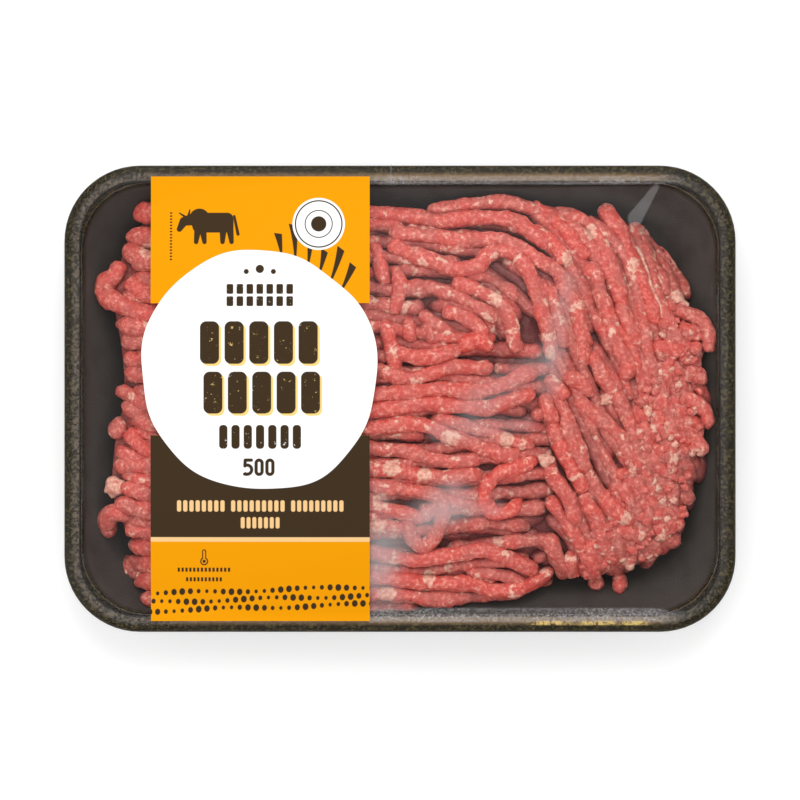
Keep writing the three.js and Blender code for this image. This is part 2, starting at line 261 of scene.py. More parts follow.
class Heap:
    """Gathers many tubes and lumps, to be joined into one mesh."""

    def __init__(self):
        self.points, self.faces, self.makeup_and_shade = [], [], []
        self.count = 0

    def add(self, points, faces, look):
        """Adds a closed shape; the film presses what would stand above the heap's top."""
        top = heap_top(points[:, 0], points[:, 1])
        points[:, 2] = np.minimum(points[:, 2], top + PRESSED)
        # Painted shade: the depth below the heap's top darkens the meat in the gaps between and under strands
        shade_deepest = DARKEST_SHADE_DEPTH + LEFT_SHADE_DEEPER * smooth(-68, -78, points[:, 0])
        depth = np.clip((top - points[:, 2]) / shade_deepest, 0, 1)
        self.points.append(points)
        self.faces.extend((np.asarray(f) + self.count).tolist() for f in faces)
        self.makeup_and_shade.append(np.column_stack([look, depth]))
        self.count += len(points)

    def piece(self, name, material):
        mesh = bpy.data.meshes.new(name)
        mesh.from_pydata((np.concatenate(self.points) * MM).tolist(), [], list(itertools.chain(*self.faces)))
        mesh.shade_smooth()
        made = mesh.attributes.new("makeup_and_shade", "FLOAT_VECTOR", "POINT")
        made.data.foreach_set("vector", np.concatenate(self.makeup_and_shade).astype(np.float32).ravel())
        piece = bpy.data.objects.new(name, mesh)
        bpy.context.scene.collection.objects.link(piece)
        return fitted(piece, material, "minced_meat")


def fitted(piece, material, node):
    """Gives a finished piece its material, hangs it on the root body, and hides the imported part that it
    stands for.
    """
    piece.data.materials.clear()
    piece.data.materials.append(material)
    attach(piece, "root")
    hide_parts(node)
    return piece


def waver(rng, along, length, amount):
    """A slow random swing along a strand."""
    phases = rng.uniform(0, TAU, 3)
    waves = [np.sin(along / (length / k) * TAU + p) / k for k, p in zip((1, 1.9, 3.1), phases)]
    return amount * sum(waves)


def spread_fat(rng, along, angle, radius, richness):
    """Blobs of fat on a strand; a few of them fill it from side to side."""
    fat = np.zeros_like(along)
    length = along.max() - along.min()
    for _ in range(rng.poisson(richness * length / 6)):
        centre, facing = rng.uniform(0, length), rng.uniform(0, TAU)
        half_length = rng.uniform(0.5, 2.1)
        half_width = 9 if rng.random() < 0.08 else rng.uniform(0.5, 2.0)
        turn = radius * np.abs(np.mod(angle - facing + math.pi, TAU) - math.pi)
        distance = np.hypot((along - centre) / half_length, turn / half_width)
        fat = np.maximum(fat, smooth(1.6, 0.3, distance) * rng.uniform(0.5, 1))
    return fat


def tube_faces(rows, columns):
    """The faces of a closed tube, whose points come row by row, and then its first and last middle."""
    i, j = np.meshgrid(np.arange(rows - 1), np.arange(columns), indexing="ij")
    k = (j + 1) % columns
    quads = np.stack([i * columns + j, (i + 1) * columns + j, (i + 1) * columns + k, i * columns + k], -1)
    j = np.arange(columns)
    k = (j + 1) % columns
    last_row = (rows - 1) * columns
    first = np.stack([np.full(columns, rows * columns), j, k], -1)
    last = np.stack([np.full(columns, rows * columns + 1), last_row + k, last_row + j], -1)
    return [quads.reshape(-1, 4), first, last]


def add_strand(heap, rng, path, radius, sides, fat=1.0, tone=None, flatness=1.0, ragged=1.0):
    """One strand as a closed tube along a path of points (n, 3), with rounded, torn ends."""
    steps = np.linalg.norm(np.diff(path, axis=0), axis=1)
    gone = np.concatenate([[0], np.cumsum(steps)])
    tangent = np.gradient(path, axis=0)
    tangent /= np.linalg.norm(tangent, axis=1, keepdims=True)
    side = np.cross(tangent, (0, 0, 1))
    side /= np.linalg.norm(side, axis=1, keepdims=True)
    upward = np.cross(side, tangent)

    from_end = np.minimum(gone, gone[-1] - gone)
    rounding = radius * rng.uniform(0.7, 2.0)
    closing = np.sqrt(np.clip(1 - np.clip(1 - from_end / rounding, 0, 1) ** 2, 0.04, 1))
    thickness = radius * closing * (1 + waver(rng, gone, 17, 0.07))
    angle = np.arange(sides) * TAU / sides
    ring = (
        np.cos(angle)[None, :, None] * side[:, None, :]
        + np.sin(angle)[None, :, None] * upward[:, None, :] * flatness
    )
    surface = path[:, None, :] + ring * thickness[:, None, None]
    flat = surface.reshape(-1, 3)
    bumps = 0.36 * lumps(flat, 3.6) + 0.28 * lumps(flat, 1.6) + 0.14 * lumps(flat, 0.9)
    torn = 1 + 1.2 * ragged * smooth(3.5, 0, np.repeat(from_end, sides))
    bumps = bumps * torn * np.repeat(closing, sides) * radius / STRAND_RADIUS
    flat = flat + ring.reshape(-1, 3) * bumps[:, None]

    points = np.vstack([flat, path[:1], path[-1:]])
    along = np.append(np.repeat(gone, sides), [0, gone[-1]])
    around = np.append(np.tile(angle, len(path)), [0, 0])
    greasy = np.maximum(spread_fat(rng, along, around, radius, fat), patch_fat(points))
    tone = rng.random() if tone is None else tone
    look = np.column_stack([greasy, np.full(len(points), tone)])
    heap.add(points, tube_faces(len(path), sides), look)


def lay(rng, x, y, radius, depth):
    """A path on the heap along x and y, its crest at a depth below the heap's top."""
    gone = np.concatenate([[0], np.cumsum(np.hypot(np.diff(x), np.diff(y)))])
    swing = waver(rng, gone, 31, 0.35)
    from_end = np.minimum(gone, gone[-1] - gone)
    dip = 1.2 * smooth(4, 0, from_end)
    z = heap_top(x, y) - radius - np.maximum(0.3, depth + swing) - dip
    return np.stack([x, y, z], -1)


def runs(inside):
    """The stretches of a row that lie inside the heap, as (first, last) pairs."""
    edges = np.flatnonzero(np.diff(np.concatenate([[0], inside.astype(int), [0]])))
    return zip(edges[::2], edges[1::2])


def beside_label(x):
    """How much the rows sink, as a share, where the shown strands lie on them: at both sides of the label."""
    return smooth(-14, -6, x) + 0.6 * smooth(-68, -74, x)


def add_row(heap, rng, x, y, inside, step, shortest, spread, depth, lowered, sides, **look):
    """A row cut into strands of different length, each at its own depth."""
    for first, last in runs(inside):
        while first < last - 5 / step:
            end = min(last, first + int((shortest + spread * rng.random()) / step))
            radius = STRAND_RADIUS * rng.uniform(0.92, 1.1)
            row_x, row_y = x[first:end], y[first:end]
            sunk = lowered * beside_label(row_x)
            path = lay(rng, row_x, row_y, radius, depth + sunk + rng.uniform(0, 1.5))
            add_strand(heap, rng, path, radius, sides, **look)
            first = end + int(rng.uniform(-2.5, 0.5) / step)
            if end == last:
                break


def add_rows(heap, rng, step, sides, depth, offset):
    """Strands laid side by side across the left and the middle."""
    for row in np.arange(-64 + offset, 70, ROW_SPACING):
        radius = row - SWEEP_CENTRE[1]
        swept = radius > TIGHTEST_SWEEP
        end = SWEEP_CENTRE[0] + 1.2 * radius + rng.uniform(0, 8) if swept else BLOCK_LEFT + rng.uniform(0, 5)
        along = np.arange(-100, end, step)
        level = row + rng.uniform(-0.7, 0.7) + waver(rng, along + 100, 90, 0.5)
        x, y = swept_place(level, along)
        limit = rng.uniform(0.95, 0.99)
        inside = (heap_share(x, y) < limit - 0.05 * smooth(-60, -75, x)) & (x < BLOCK_LEFT + 5)
        add_row(heap, rng, x, y, inside, step, 45, 110, depth, 1.8, sides, fat=rng.choice([0.7, 1.4, 2.6]))


def add_block(heap, rng, step, sides, depth, offset):
    """Strands side by side down the right block."""
    for lane in np.arange(-14 + offset, 86, ROW_SPACING * 0.96):
        along = np.arange(0, 190, step)
        level = lane + rng.uniform(-0.7, 0.7) + waver(rng, along, 70, 0.6)
        x, y = block_place(level, along)
        limit = rng.uniform(0.94, 0.985)
        inside = (heap_share(x, y) < limit) & in_block(x, y) & ~in_crumbs(x + rng.uniform(-6, 2), y)
        add_row(heap, rng, x, y, inside, step, 24, 60, depth, 0.7, sides, fat=rng.choice([0.5, 1.0, 1.8]))


def curve_through(places, step):
    """Points along a smooth curve through [x, y] places."""
    out = []
    for a, b, c, d in stretches(places):
        count = max(2, int(np.linalg.norm(c - b) / step))
        out.append(spline(a, b, c, d, np.arange(count)[:, None] / count))
    return np.vstack([*out, places[-1:]]).T


# Strands on top, as the photo shows them: depth, radius, fat, redness from 0 to 1.6, and the way they go
SHOWN_STRANDS = [
    (0.8, 2.4, 1.0, 0.5, [(8, 58), (16, 59.5), (23, 60.5), (32, 61), (39, 59.5), (45, 57), (50, 53)]),
    (0.0, 2.6, 0.9, 0.9, [(-18, 58), (-1, 57), (7, 56), (14, 55), (22, 56), (29, 56), (36, 55),
                          (42, 50.5), (47, 47)]),
    (0.3, 2.5, 0.8, 0.6, [(-4, 52), (4, 51), (12, 50), (19, 49), (27, 49.5), (32, 49), (38, 46),
                          (43, 43), (48, 40)]),
    (0.0, 2.6, 1.3, 0.9, [(-4, 48), (3, 45), (9, 43), (14, 41), (19, 40), (24, 41), (27, 44), (31, 46),
                          (36, 44), (40, 39), (42, 34), (43.5, 29), (44.5, 23)]),
    (0.6, 2.4, 1.8, 0.6, [(16, 36), (22, 34.5), (28, 31.5), (32, 28.5), (34, 24), (35, 19), (36.5, 14)]),
    (2.0, 2.3, 1.2, 0.3, [(18, 38.5), (26, 37.5), (32, 34.5), (37, 30.5)]),
    (0.4, 2.3, 1.2, 0.7, [(13, 27.5), (18, 26), (23, 23), (27, 18.5)]),
    (1.6, 2.4, 0.8, 0.4, [(-1, 34), (6, 35), (14, 33), (21, 30), (28, 26), (31, 24)]),
    (0.9, 2.3, 0.8, 0.8, [(2.5, 26), (3, 21), (4, 17)]),
    (1.2, 2.2, 0.8, 0.7, [(8, 25), (9, 21), (10.5, 16)]),
    (1.6, 2.2, 1.0, 0.4, [(6, 26.5), (12, 22.5), (18, 18.5)]),
    (0.3, 2.5, 1.1, 0.9, [(-3, 15), (4, 13), (12, 13.5), (19, 16)]),
    (0.0, 3.0, 0.1, 1.5, [(17.5, 15.5), (23.5, 18), (29, 15)]),
    (0.8, 2.4, 1.0, 0.6, [(-14, 11), (2, 6.5), (9, 7.5), (15, 9.5), (22, 10), (29, 9.5)]),
    (0.0, 2.6, 1.1, 0.8, [(-16, 1), (4, 2), (14, 3), (24, 2), (32, 4.5), (39, 7.5), (43, 8)]),
    (0.6, 2.4, 0.8, 1.0, [(-5, 25), (-3.5, 18), (-1.5, 10.5), (-2, 5.5)]),
    (0.9, 2.4, 1.0, 0.7, [(-8, 48), (-6, 40), (-4, 35)]),
    (0.7, 2.4, 1.0, 0.6, [(-2, 41), (0, 36), (-1, 30), (-2, 26)]),
    (0.0, 2.6, 0.7, 0.9, [(-18, -5.5), (0, -2.5), (8, -1.5), (18, -2.5), (28, -2.5), (36, 0), (42, 2)]),
    (0.0, 2.6, 1.8, 0.8, [(-16, -10), (1, -8), (9, -8.5), (16, -12), (25, -15), (31, -17), (37, -18)]),
    (1.4, 2.3, 1.4, 0.5, [(9, -6), (18, -7.5), (27, -10.5), (36, -13.5), (42, -14)]),
    (0.8, 2.3, 1.0, 0.4, [(-18, -15), (0, -16), (8, -18), (16, -19.5), (25, -18.5)]),
    (0.3, 2.5, 2.6, 0.6, [(-18, -21), (0, -22.5), (9, -24), (18, -24), (26, -23)]),
    (0.2, 2.4, 0.4, 0.5, [(-17, -26), (5, -28.5), (12, -30.5), (13.5, -34), (12.5, -39), (10, -43.5),
                          (6.5, -45.5), (3.5, -43), (2.5, -38), (2, -35)]),
    (0.6, 2.3, 1.5, 0.7, [(-18, -31), (1.5, -35.5), (6.5, -36.5), (12, -32.5)]),
    (0.9, 2.3, 0.8, 0.6, [(12, -31), (19, -32.5), (27, -34)]),
    (0.0, 2.4, 0.5, 1.5, [(43, -18.5), (36, -21.5), (30, -23.5), (26.5, -28), (26.5, -32.5),
                          (30, -35.5), (34, -34.5), (38, -31)]),
    (3.6, 2.2, 0.6, 0.2, [(15, -39.5), (26, -40), (34, -41), (41, -43.5), (47, -46.5)]),
    (0.2, 2.5, 1.0, 0.9, [(-18, -46), (1, -49.5), (9, -49.5), (18, -48), (26, -47), (32, -49),
                          (39, -52), (42, -54)]),
    (1.8, 2.2, 1.0, 0.4, [(20, -53.5), (31, -54.5), (39, -57)]),
    (0.2, 2.5, 0.8, 1.2, [(-18, -54), (0, -56), (8, -57), (15, -57), (23, -57.5), (28, -59.5),
                          (36, -59), (43, -56), (47.5, -52.5)]),
    (1.0, 2.3, 1.4, 0.6, [(-18, -60.5), (0, -60.5), (9, -62), (17, -63.5)]),
    (0.5, 2.4, 3.0, 0.7, [(-18, -40), (-3, -39.5), (2, -41)]),
    (0.2, 2.6, 0.7, 1.4, [(40.5, 60), (46, 57.5), (50.5, 53), (55, 47.5), (58, 43)]),
    (0.3, 2.5, 0.7, 1.4, [(40.5, 53), (46, 49.5), (49.5, 45.5), (51, 41)]),
    (0.9, 2.4, 1.2, 0.6, [(46, 58), (54, 56.5), (59.5, 53.5), (61.5, 49.5), (64.5, 44.5), (66.5, 39.5),
                          (69.5, 30.5)]),
    (0.0, 2.8, 0.9, 1.1, [(63.5, 60), (65.5, 56), (68.5, 51.5), (70.5, 45.5), (73, 40.5), (75.5, 34),
                          (78, 28), (79, 22)]),
    (1.2, 2.5, 1.2, 0.2, [(71, 54), (75, 51), (77, 45.5), (78.5, 41), (81.5, 37), (82.5, 31)]),
    (2.0, 2.4, 1.4, 0.2, [(79, 47.5), (83, 42), (87, 37), (89, 30.5)]),
    (0.2, 2.7, 1.3, 0.6, [(57, 42), (61, 37.5), (62, 32.5), (64.5, 26), (66, 21), (68, 15.5),
                          (70.5, 10.5), (69, 5)]),
    (0.5, 2.5, 1.4, 0.7, [(49.5, 37), (51.5, 33), (54, 29), (55.5, 22.5), (56.5, 16.5), (57, 10)]),
    (0.6, 2.3, 1.0, 0.6, [(67, 30), (69.5, 25.5), (72, 20), (75, 15)]),
    (0.4, 2.4, 0.9, 0.7, [(40.5, 38.5), (43, 31.5), (45, 24.5), (46.5, 17.5), (46.5, 12)]),
    (0.9, 2.4, 0.9, 0.5, [(46.5, 35), (48.5, 27), (50, 20), (51.5, 15.5)]),
    (0.0, 2.8, 0.9, 1.1, [(77.5, 16), (81.5, 15.5), (85, 15), (89, 16)]),
    (0.3, 2.4, 0.9, 0.7, [(45, 7), (48.5, 3.5), (51.5, -0.5)]),
    (0.3, 2.6, 1.0, 0.8, [(50, 8), (55.5, 5), (60, 0)]),
    (0.5, 2.4, 1.0, 0.7, [(60, 13.5), (62.5, 9), (65, 5.5)]),
    (0.2, 2.5, 1.6, 0.7, [(44.5, 2), (46, -3.5), (48, -9)]),
    (0.0, 2.6, 0.6, 1.2, [(48.5, -12), (51.5, -18.5), (54.5, -24), (57.5, -29)]),
    (0.6, 2.4, 0.8, 0.3, [(51.5, -5), (52, -10.5), (55, -17), (58.5, -23)]),
    (0.3, 2.5, 0.9, 0.4, [(54, 1), (60.5, -5), (65.5, -9), (68.5, -12), (70.5, -17), (73, -21)]),
    (0.5, 2.5, 1.0, 0.3, [(66, 3), (68.5, -1.5), (70.5, -6), (73, -10.5)]),
    (0.4, 2.4, 1.4, 0.6, [(45.5, -20), (48, -25), (51.5, -29.5), (53.5, -35), (55.5, -40)]),
    (0.1, 2.4, 1.5, 0.8, [(57, -32), (60.5, -36), (62.5, -41)]),
    (0.2, 2.4, 1.5, 1.0, [(58, -43), (59.5, -49.5), (60.5, -54.5), (62, -59.5)]),
    (0.1, 2.6, 0.9, 0.9, [(61.5, -29), (65.5, -33), (69, -36.5), (72.5, -38)]),
    (0.3, 2.4, 0.8, 0.4, [(67.5, -26), (70.5, -30), (73, -33.5)]),
    (0.6, 2.3, 0.8, 0.9, [(52.5, -47), (53.5, -55)]),
    (0.7, 2.3, 1.0, 0.9, [(68.5, -54), (68.5, -60.5)]),
    (0.2, 3.2, 0.5, 1.1, [(-82.5, 56.9), (-78, 57.8), (-70, 58)]),
    (0.0, 3.1, 1.2, 0.6, [(-84.5, 51), (-79, 50), (-70, 49.5)]),
    (0.2, 3.1, 1.8, 0.4, [(-85.5, 47), (-80.6, 43.7), (-77.5, 42.6), (-70, 41)]),
    (0.0, 3.1, 0.7, 0.8, [(-86.4, 42.5), (-88.5, 38.6), (-91.3, 36.2), (-91.8, 32.6), (-88, 30.1),
                          (-83.4, 27.8), (-77.5, 26.4), (-70, 26)]),
    (0.5, 2.9, 0.7, 1.0, [(-84.3, 37.4), (-82, 34.6), (-77.5, 31.9), (-70, 31)]),
    (2.0, 2.7, 0.9, 0.3, [(-82, 38), (-77.5, 36.6), (-70, 36)]),
    (0.3, 3.1, 1.6, 0.6, [(-88.2, 23.5), (-84.3, 22.8), (-78.8, 21.9), (-70, 21)]),
    (0.9, 2.8, 2.2, 0.3, [(-86, 18.5), (-82.5, 17.6), (-77, 18), (-70, 17)]),
    (1.2, 2.7, 1.2, 0.8, [(-85, 12.6), (-79.5, 12), (-72, 11.5)]),
    (0.8, 2.7, 1.0, 0.6, [(-85.5, 8), (-79, 7.6), (-72, 7)]),
    (0.4, 2.7, 1.5, 0.5, [(-88, 2.9), (-84.3, 1.4), (-79, -1.6), (-72, -3)]),
    (0.2, 2.9, 1.3, 0.5, [(-86.4, -1.6), (-82, -4), (-78, -7.4), (-72, -9)]),
    (0.8, 3.1, 1.0, 0.3, [(-86.8, -5.5), (-87.6, -9), (-86.8, -12.6)]),
    (0.2, 2.7, 0.6, 1.2, [(-84.3, -9.8), (-82, -13.1), (-77.5, -16.3), (-70, -17.5)]),
    (1.0, 2.8, 1.2, 0.4, [(-88.6, -15.5), (-84.3, -17.6), (-79, -19)]),
    (0.3, 3.0, 1.0, 0.6, [(-89, -20.9), (-84.3, -20.6), (-77.5, -20.6), (-70, -21)]),
    (0.9, 2.6, 0.7, 1.0, [(-84, -24.6), (-77.5, -25.2), (-70, -26)]),
    (0.3, 2.8, 1.0, 0.7, [(-87, -27.2), (-82, -28.4), (-77.5, -29.4), (-70, -30)]),
    (0.6, 2.8, 1.6, 0.4, [(-88.4, -32.2), (-83.6, -33.4), (-77.5, -35.4), (-70, -36)]),
    (0.0, 3.1, 1.1, 0.5, [(-83.4, -37.4), (-87, -35.4), (-90.2, -36), (-91.2, -39), (-89.8, -42.6)]),
    (1.2, 2.7, 0.6, 0.9, [(-85, -40.4), (-77.5, -41.4), (-70, -41)]),
    (0.3, 3.2, 0.9, 0.9, [(-84.3, -45.4), (-77.5, -46.4), (-70, -47)]),
    (0.4, 3.0, 1.2, 0.6, [(-84.5, -51.2), (-77.5, -51.4), (-70, -52)]),
    (0.9, 1.7, 3.0, 0.3, [(-87, -53.2), (-83.5, -54.4), (-79.5, -55.4)]),
    (0.5, 3.0, 0.7, 1.0, [(-81.6, -56.8), (-77, -57), (-70, -57)]),
    (0.6, 2.6, 1.5, 0.7, [(-79.6, -61.9), (-74, -62.6)]),
]

# Strands along the right end's outer edge, then pale sinews, laid with draws of their own
EDGE_STRANDS = [
    (0.9, 2.5, 1.2, 0.2, [(76, 50), (80, 45), (83.5, 39.5), (85.5, 33), (86.5, 28)]),
    (0.2, 2.5, 1.4, 0.3, [(84, 27.5), (89, 26.5), (93.5, 24), (95.8, 19.5), (95, 14.5)]),
    (0.5, 2.3, 1.0, 0.8, [(86, 22.5), (90, 21), (93, 17.5)]),
    (0.6, 2.3, 1.6, 0.4, [(87, 9.5), (91.5, 8), (95, 4.5)]),
    (0.2, 2.5, 1.0, 0.7, [(86, 0.5), (91, -1), (95, -4.5), (95.8, -9.5)]),
    (0.6, 2.4, 1.4, 0.3, [(88, -9), (92.5, -13), (94, -18)]),
    (0.0, 0.6, 30, 0.2, [(73.5, 47.5), (76.3, 41.3), (77.8, 35.7), (80.2, 29.9), (81.6, 24.7)]),
    (0.3, 0.7, 30, 0.2, [(30.5, 29.8), (33.6, 28), (35.6, 24.5), (36.6, 21)]),
    (0.0, 0.5, 30, 0.2, [(77.5, 44), (79.5, 39), (83, 33.5)]),
]

# Loose lumps of fat: place, size
FAT_LUMPS = [
    ((74, -10.7), 2.3), ((76.2, -16.6), 2.1), ((79, -34.7), 2.6), ((64.6, -0.4), 2.0), ((45.3, -19.1), 2.0),
    ((-88.4, -27.4), 2.4),
]

# Places where fat fills a strand from side to side: the middle, and half the length
FAT_PATCHES = [
    (15.5, -12.2, 3.2), (-2.6, -21.5, 3.0), (7.6, -23.5, 2.2), (-6.2, -32.0, 2.6), (-7.3, -39.5, 2.6),
    (33, -12.7, 2.2), (9, -55.5, 1.8), (-4, -60.5, 3.0), (52, 43.5, 1.8), (59.5, 52, 1.8), (46.5, 14, 1.8),
    (72.5, 41.5, 1.8), (30, 31, 1.8), (-79, 46, 2.0),
]


def patch_fat(points):
    """How much of a fat patch covers each point."""
    fat = np.zeros(len(points))
    for x, y, half_length in FAT_PATCHES:
        away = np.hypot((points[:, 0] - x) / half_length, (points[:, 1] - y) / 2.6)
        fat = np.maximum(fat, smooth(1.15, 0.85, away))
    return fat


def add_shown_strands(heap, rng, shown, step, sides):
    for depth, radius, fat, redness, places in shown:
        x, y = curve_through(places, step)
        path = lay(rng, x, y, radius, depth)
        add_strand(heap, rng, path, radius, sides, fat=fat, tone=redness)


def add_crumb_strands(heap, rng, step, sides):
    """Short broken strands over the right block's crumbling side."""
    laid = 0
    while laid < CRUMB_STRANDS:
        x, y = rng.uniform(54, 101), rng.uniform(-64, 42)
        if not in_crumbs(x + 5, y) or heap_share(x, y) > 0.95:
            continue
        laid += 1
        half = rng.uniform(2.5, 9)
        heading = SWEEP_END + rng.normal(0, 0.5)
        bend = rng.normal(0, 0.06)
        s = np.arange(-half, half, step)
        turn = heading + bend * s
        px, py = x + np.cumsum(np.cos(turn)) * step, y + np.cumsum(np.sin(turn)) * step
        within = heap_share(px, py) < rng.uniform(0.92, 0.985)
        px, py = px[within], py[within]
        radius = rng.uniform(2.0, 3.3)
        if len(px) * step < 2.2 * radius:
            continue
        path = lay(rng, px, py, radius, rng.uniform(0.2, 2.6) + 2.5 * smooth(0.85, 1, heap_share(x, y)))
        add_strand(heap, rng, path, radius, sides, fat=rng.choice([0.4, 1.2]), flatness=0.7, ragged=0.9)


def ball(detail):
    """A round lump's points and faces."""
    made = bmesh.new()
    bmesh.ops.create_icosphere(made, subdivisions=detail, radius=1)
    points = np.array([v.co for v in made.verts])
    faces = np.array([[v.index for v in f.verts] for f in made.faces])
    made.free()
    return points, faces


def add_lumps(heap, rng, places, sizes, detail, fat, tone):
    """Uneven lumps resting in the heap's surface."""
    points, faces = ball(detail)
    for (x, y), size in zip(places, sizes):
        blocky = points / np.abs(points).max(axis=1, keepdims=True) ** 0.55
        shape = blocky * size * rng.uniform(0.65, 1.4, 3)
        turn = rng.uniform(0, TAU)
        c, s = math.cos(turn), math.sin(turn)
        shape = shape @ np.array([[c, -s, 0], [s, c, 0], [0, 0, 1]])
        shape = shape + [x, y, heap_top(x, y) - size * rng.uniform(1.4, 2.0)]
        bumps = size * (0.7 * lumps(shape, size) + 0.4 * lumps(shape, size / 1.8))
        shape = shape + points * bumps[:, None]
        heap.add(shape, [faces], np.tile([rng.choice(fat), rng.uniform(*tone)], (len(shape), 1)))


def scatter(rng, count, allowed):
    """Random places on the heap where allowed(x, y) holds."""
    places = []
    while len(places) < count:
        x, y = rng.uniform(-97, 100), rng.uniform(-66, 62)
        if heap_share(x, y) < 0.96 and allowed(x, y):
            places.append((x, y))
    return places


def add_bed(heap, around=360, rings=110):
    """The meat under the strands: a lumpy closed body that fills the tray below them."""
    angle = np.arange(around) * TAU / around
    share = np.linspace(0, 0.955, rings)[1:]
    s, a = np.meshgrid(share, angle, indexing="ij")
    x, y = s * reach_at(a) * np.cos(a), s * reach_at(a) * np.sin(a)
    flat = np.stack([x.ravel(), y.ravel(), np.zeros(x.size)], -1)
    close_up = smooth(-4, 8, flat[:, 0] - CRUMBS_LEFT - CRUMBS_SLANT * flat[:, 1])
    depth = BED_DEPTH - 2.6 * close_up
    rough = (0.7 + 0.5 * close_up) * lumps(flat, 4.5) + 0.5 * lumps(flat, 2.1)
    flat[:, 2] = heap_top(flat[:, 0], flat[:, 1]) - depth + rough
    tray_floor = TRAY_BASE + FLOOR_THICKNESS + GAP
    bottom = flat[-around:].copy()
    bottom[:, 2] = np.maximum(tray_floor, wall_height(bottom[:, 0], bottom[:, 1]) + GAP)
    floor_ring = bottom.copy()
    floor_ring[:, :2] *= 0.8
    floor_ring[:, 2] = tray_floor
    middles = [[0, 0, heap_top(0.0, 0.0) - BED_DEPTH], [0, 0, tray_floor]]
    points = np.vstack([flat, bottom, floor_ring, middles])
    heap.add(points, tube_faces(rings + 1, around), np.tile([0, 0.35], (len(points), 1)))


# Shader writing

class Num:
    """A number that varies over a surface, usable in arithmetic."""

    def __init__(self, finish, socket):
        self.finish, self.socket = finish, socket

    def math(self, operation, *others, clamp=False):
        sockets = dict(enumerate((self, *others)))
        made = self.finish.node("ShaderNodeMath", {"operation": operation, "use_clamp": clamp}, sockets)
        return Num(self.finish, made.outputs[0])

    def __add__(self, other):
        return self.math("ADD", other)

    def __sub__(self, other):
        return self.math("SUBTRACT", other)

    def __mul__(self, other):
        return self.math("MULTIPLY", other)

    def __truediv__(self, other):
        return self.math("DIVIDE", other)

    def __rsub__(self, other):
        return (self * -1) + other

    __radd__ = __add__
    __rmul__ = __mul__

    def clamped(self):
        return self.math("ADD", 0.0, clamp=True)

    def least(self, other):
        return self.math("MINIMUM", other)

    def most(self, other):
        return self.math("MAXIMUM", other)

    def step(self, start, end):
        """0 before start, 1 after end, smooth between."""
        settings = {"interpolation_type": "SMOOTHSTEP"}
        if start < end:
            sockets = {"Value": self, "From Min": start, "From Max": end}
            return Num(self.finish, self.finish.node("ShaderNodeMapRange", settings, sockets).outputs[0])
        return 1 - self.step(end, start)


class Finish:
    """A node material, made node by node."""

    def __init__(self, name):
        self.material = bpy.data.materials.new(name)
        self.material.use_nodes = True
        self.tree = self.material.node_tree
        self.tree.nodes.clear()

    def node(self, kind, settings=None, sockets=None):
        made = self.tree.nodes.new(kind)
        for key, value in (settings or {}).items():
            setattr(made, key, value)
        for key, value in (sockets or {}).items():
            value = value.socket if isinstance(value, Num) else value
            if isinstance(value, bpy.types.NodeSocket):
                self.tree.links.new(value, made.inputs[key])
            else:
                made.inputs[key].default_value = value
        return made

    def object_place(self):
        return self.node("ShaderNodeTexCoord").outputs["Object"]

    def split(self, vector):
        made = self.node("ShaderNodeSeparateXYZ", {}, {0: vector})
        return [Num(self, socket) for socket in made.outputs]

    def noise(self, place, size, detail=2.0, roughness=0.5):
        """Random values from 0 to 1 in blots of a size in millimetres."""
        sockets = {"Vector": place, "Scale": 1 / (size * MM), "Detail": detail, "Roughness": roughness}
        return Num(self, self.node("ShaderNodeTexNoise", {}, sockets).outputs["Fac"])

    def cells(self, place, size):
        sockets = {"Vector": place, "Scale": 1 / (size * MM)}
        return Num(self, self.node("ShaderNodeTexVoronoi", {}, sockets).outputs["Distance"])

    def mixed(self, share, first, second):
        """Between two colours."""
        as_colour = [c if isinstance(c, bpy.types.NodeSocket) else (*c, 1.0) for c in (first, second)]
        settings = {"data_type": "RGBA", "clamp_factor": True}
        made = self.node("ShaderNodeMix", settings, {0: share, 6: as_colour[0], 7: as_colour[1]})
        return made.outputs[2]

    def bump(self, height, depth, strength):
        """A normal from a height of 0 to 1 that stands for a depth in millimetres."""
        sockets = {"Height": height, "Distance": depth * MM, "Strength": strength}
        return self.node("ShaderNodeBump", {}, sockets).outputs["Normal"]

    def end(self, shader):
        self.node("ShaderNodeOutputMaterial", {}, {"Surface": shader})
        return self.material


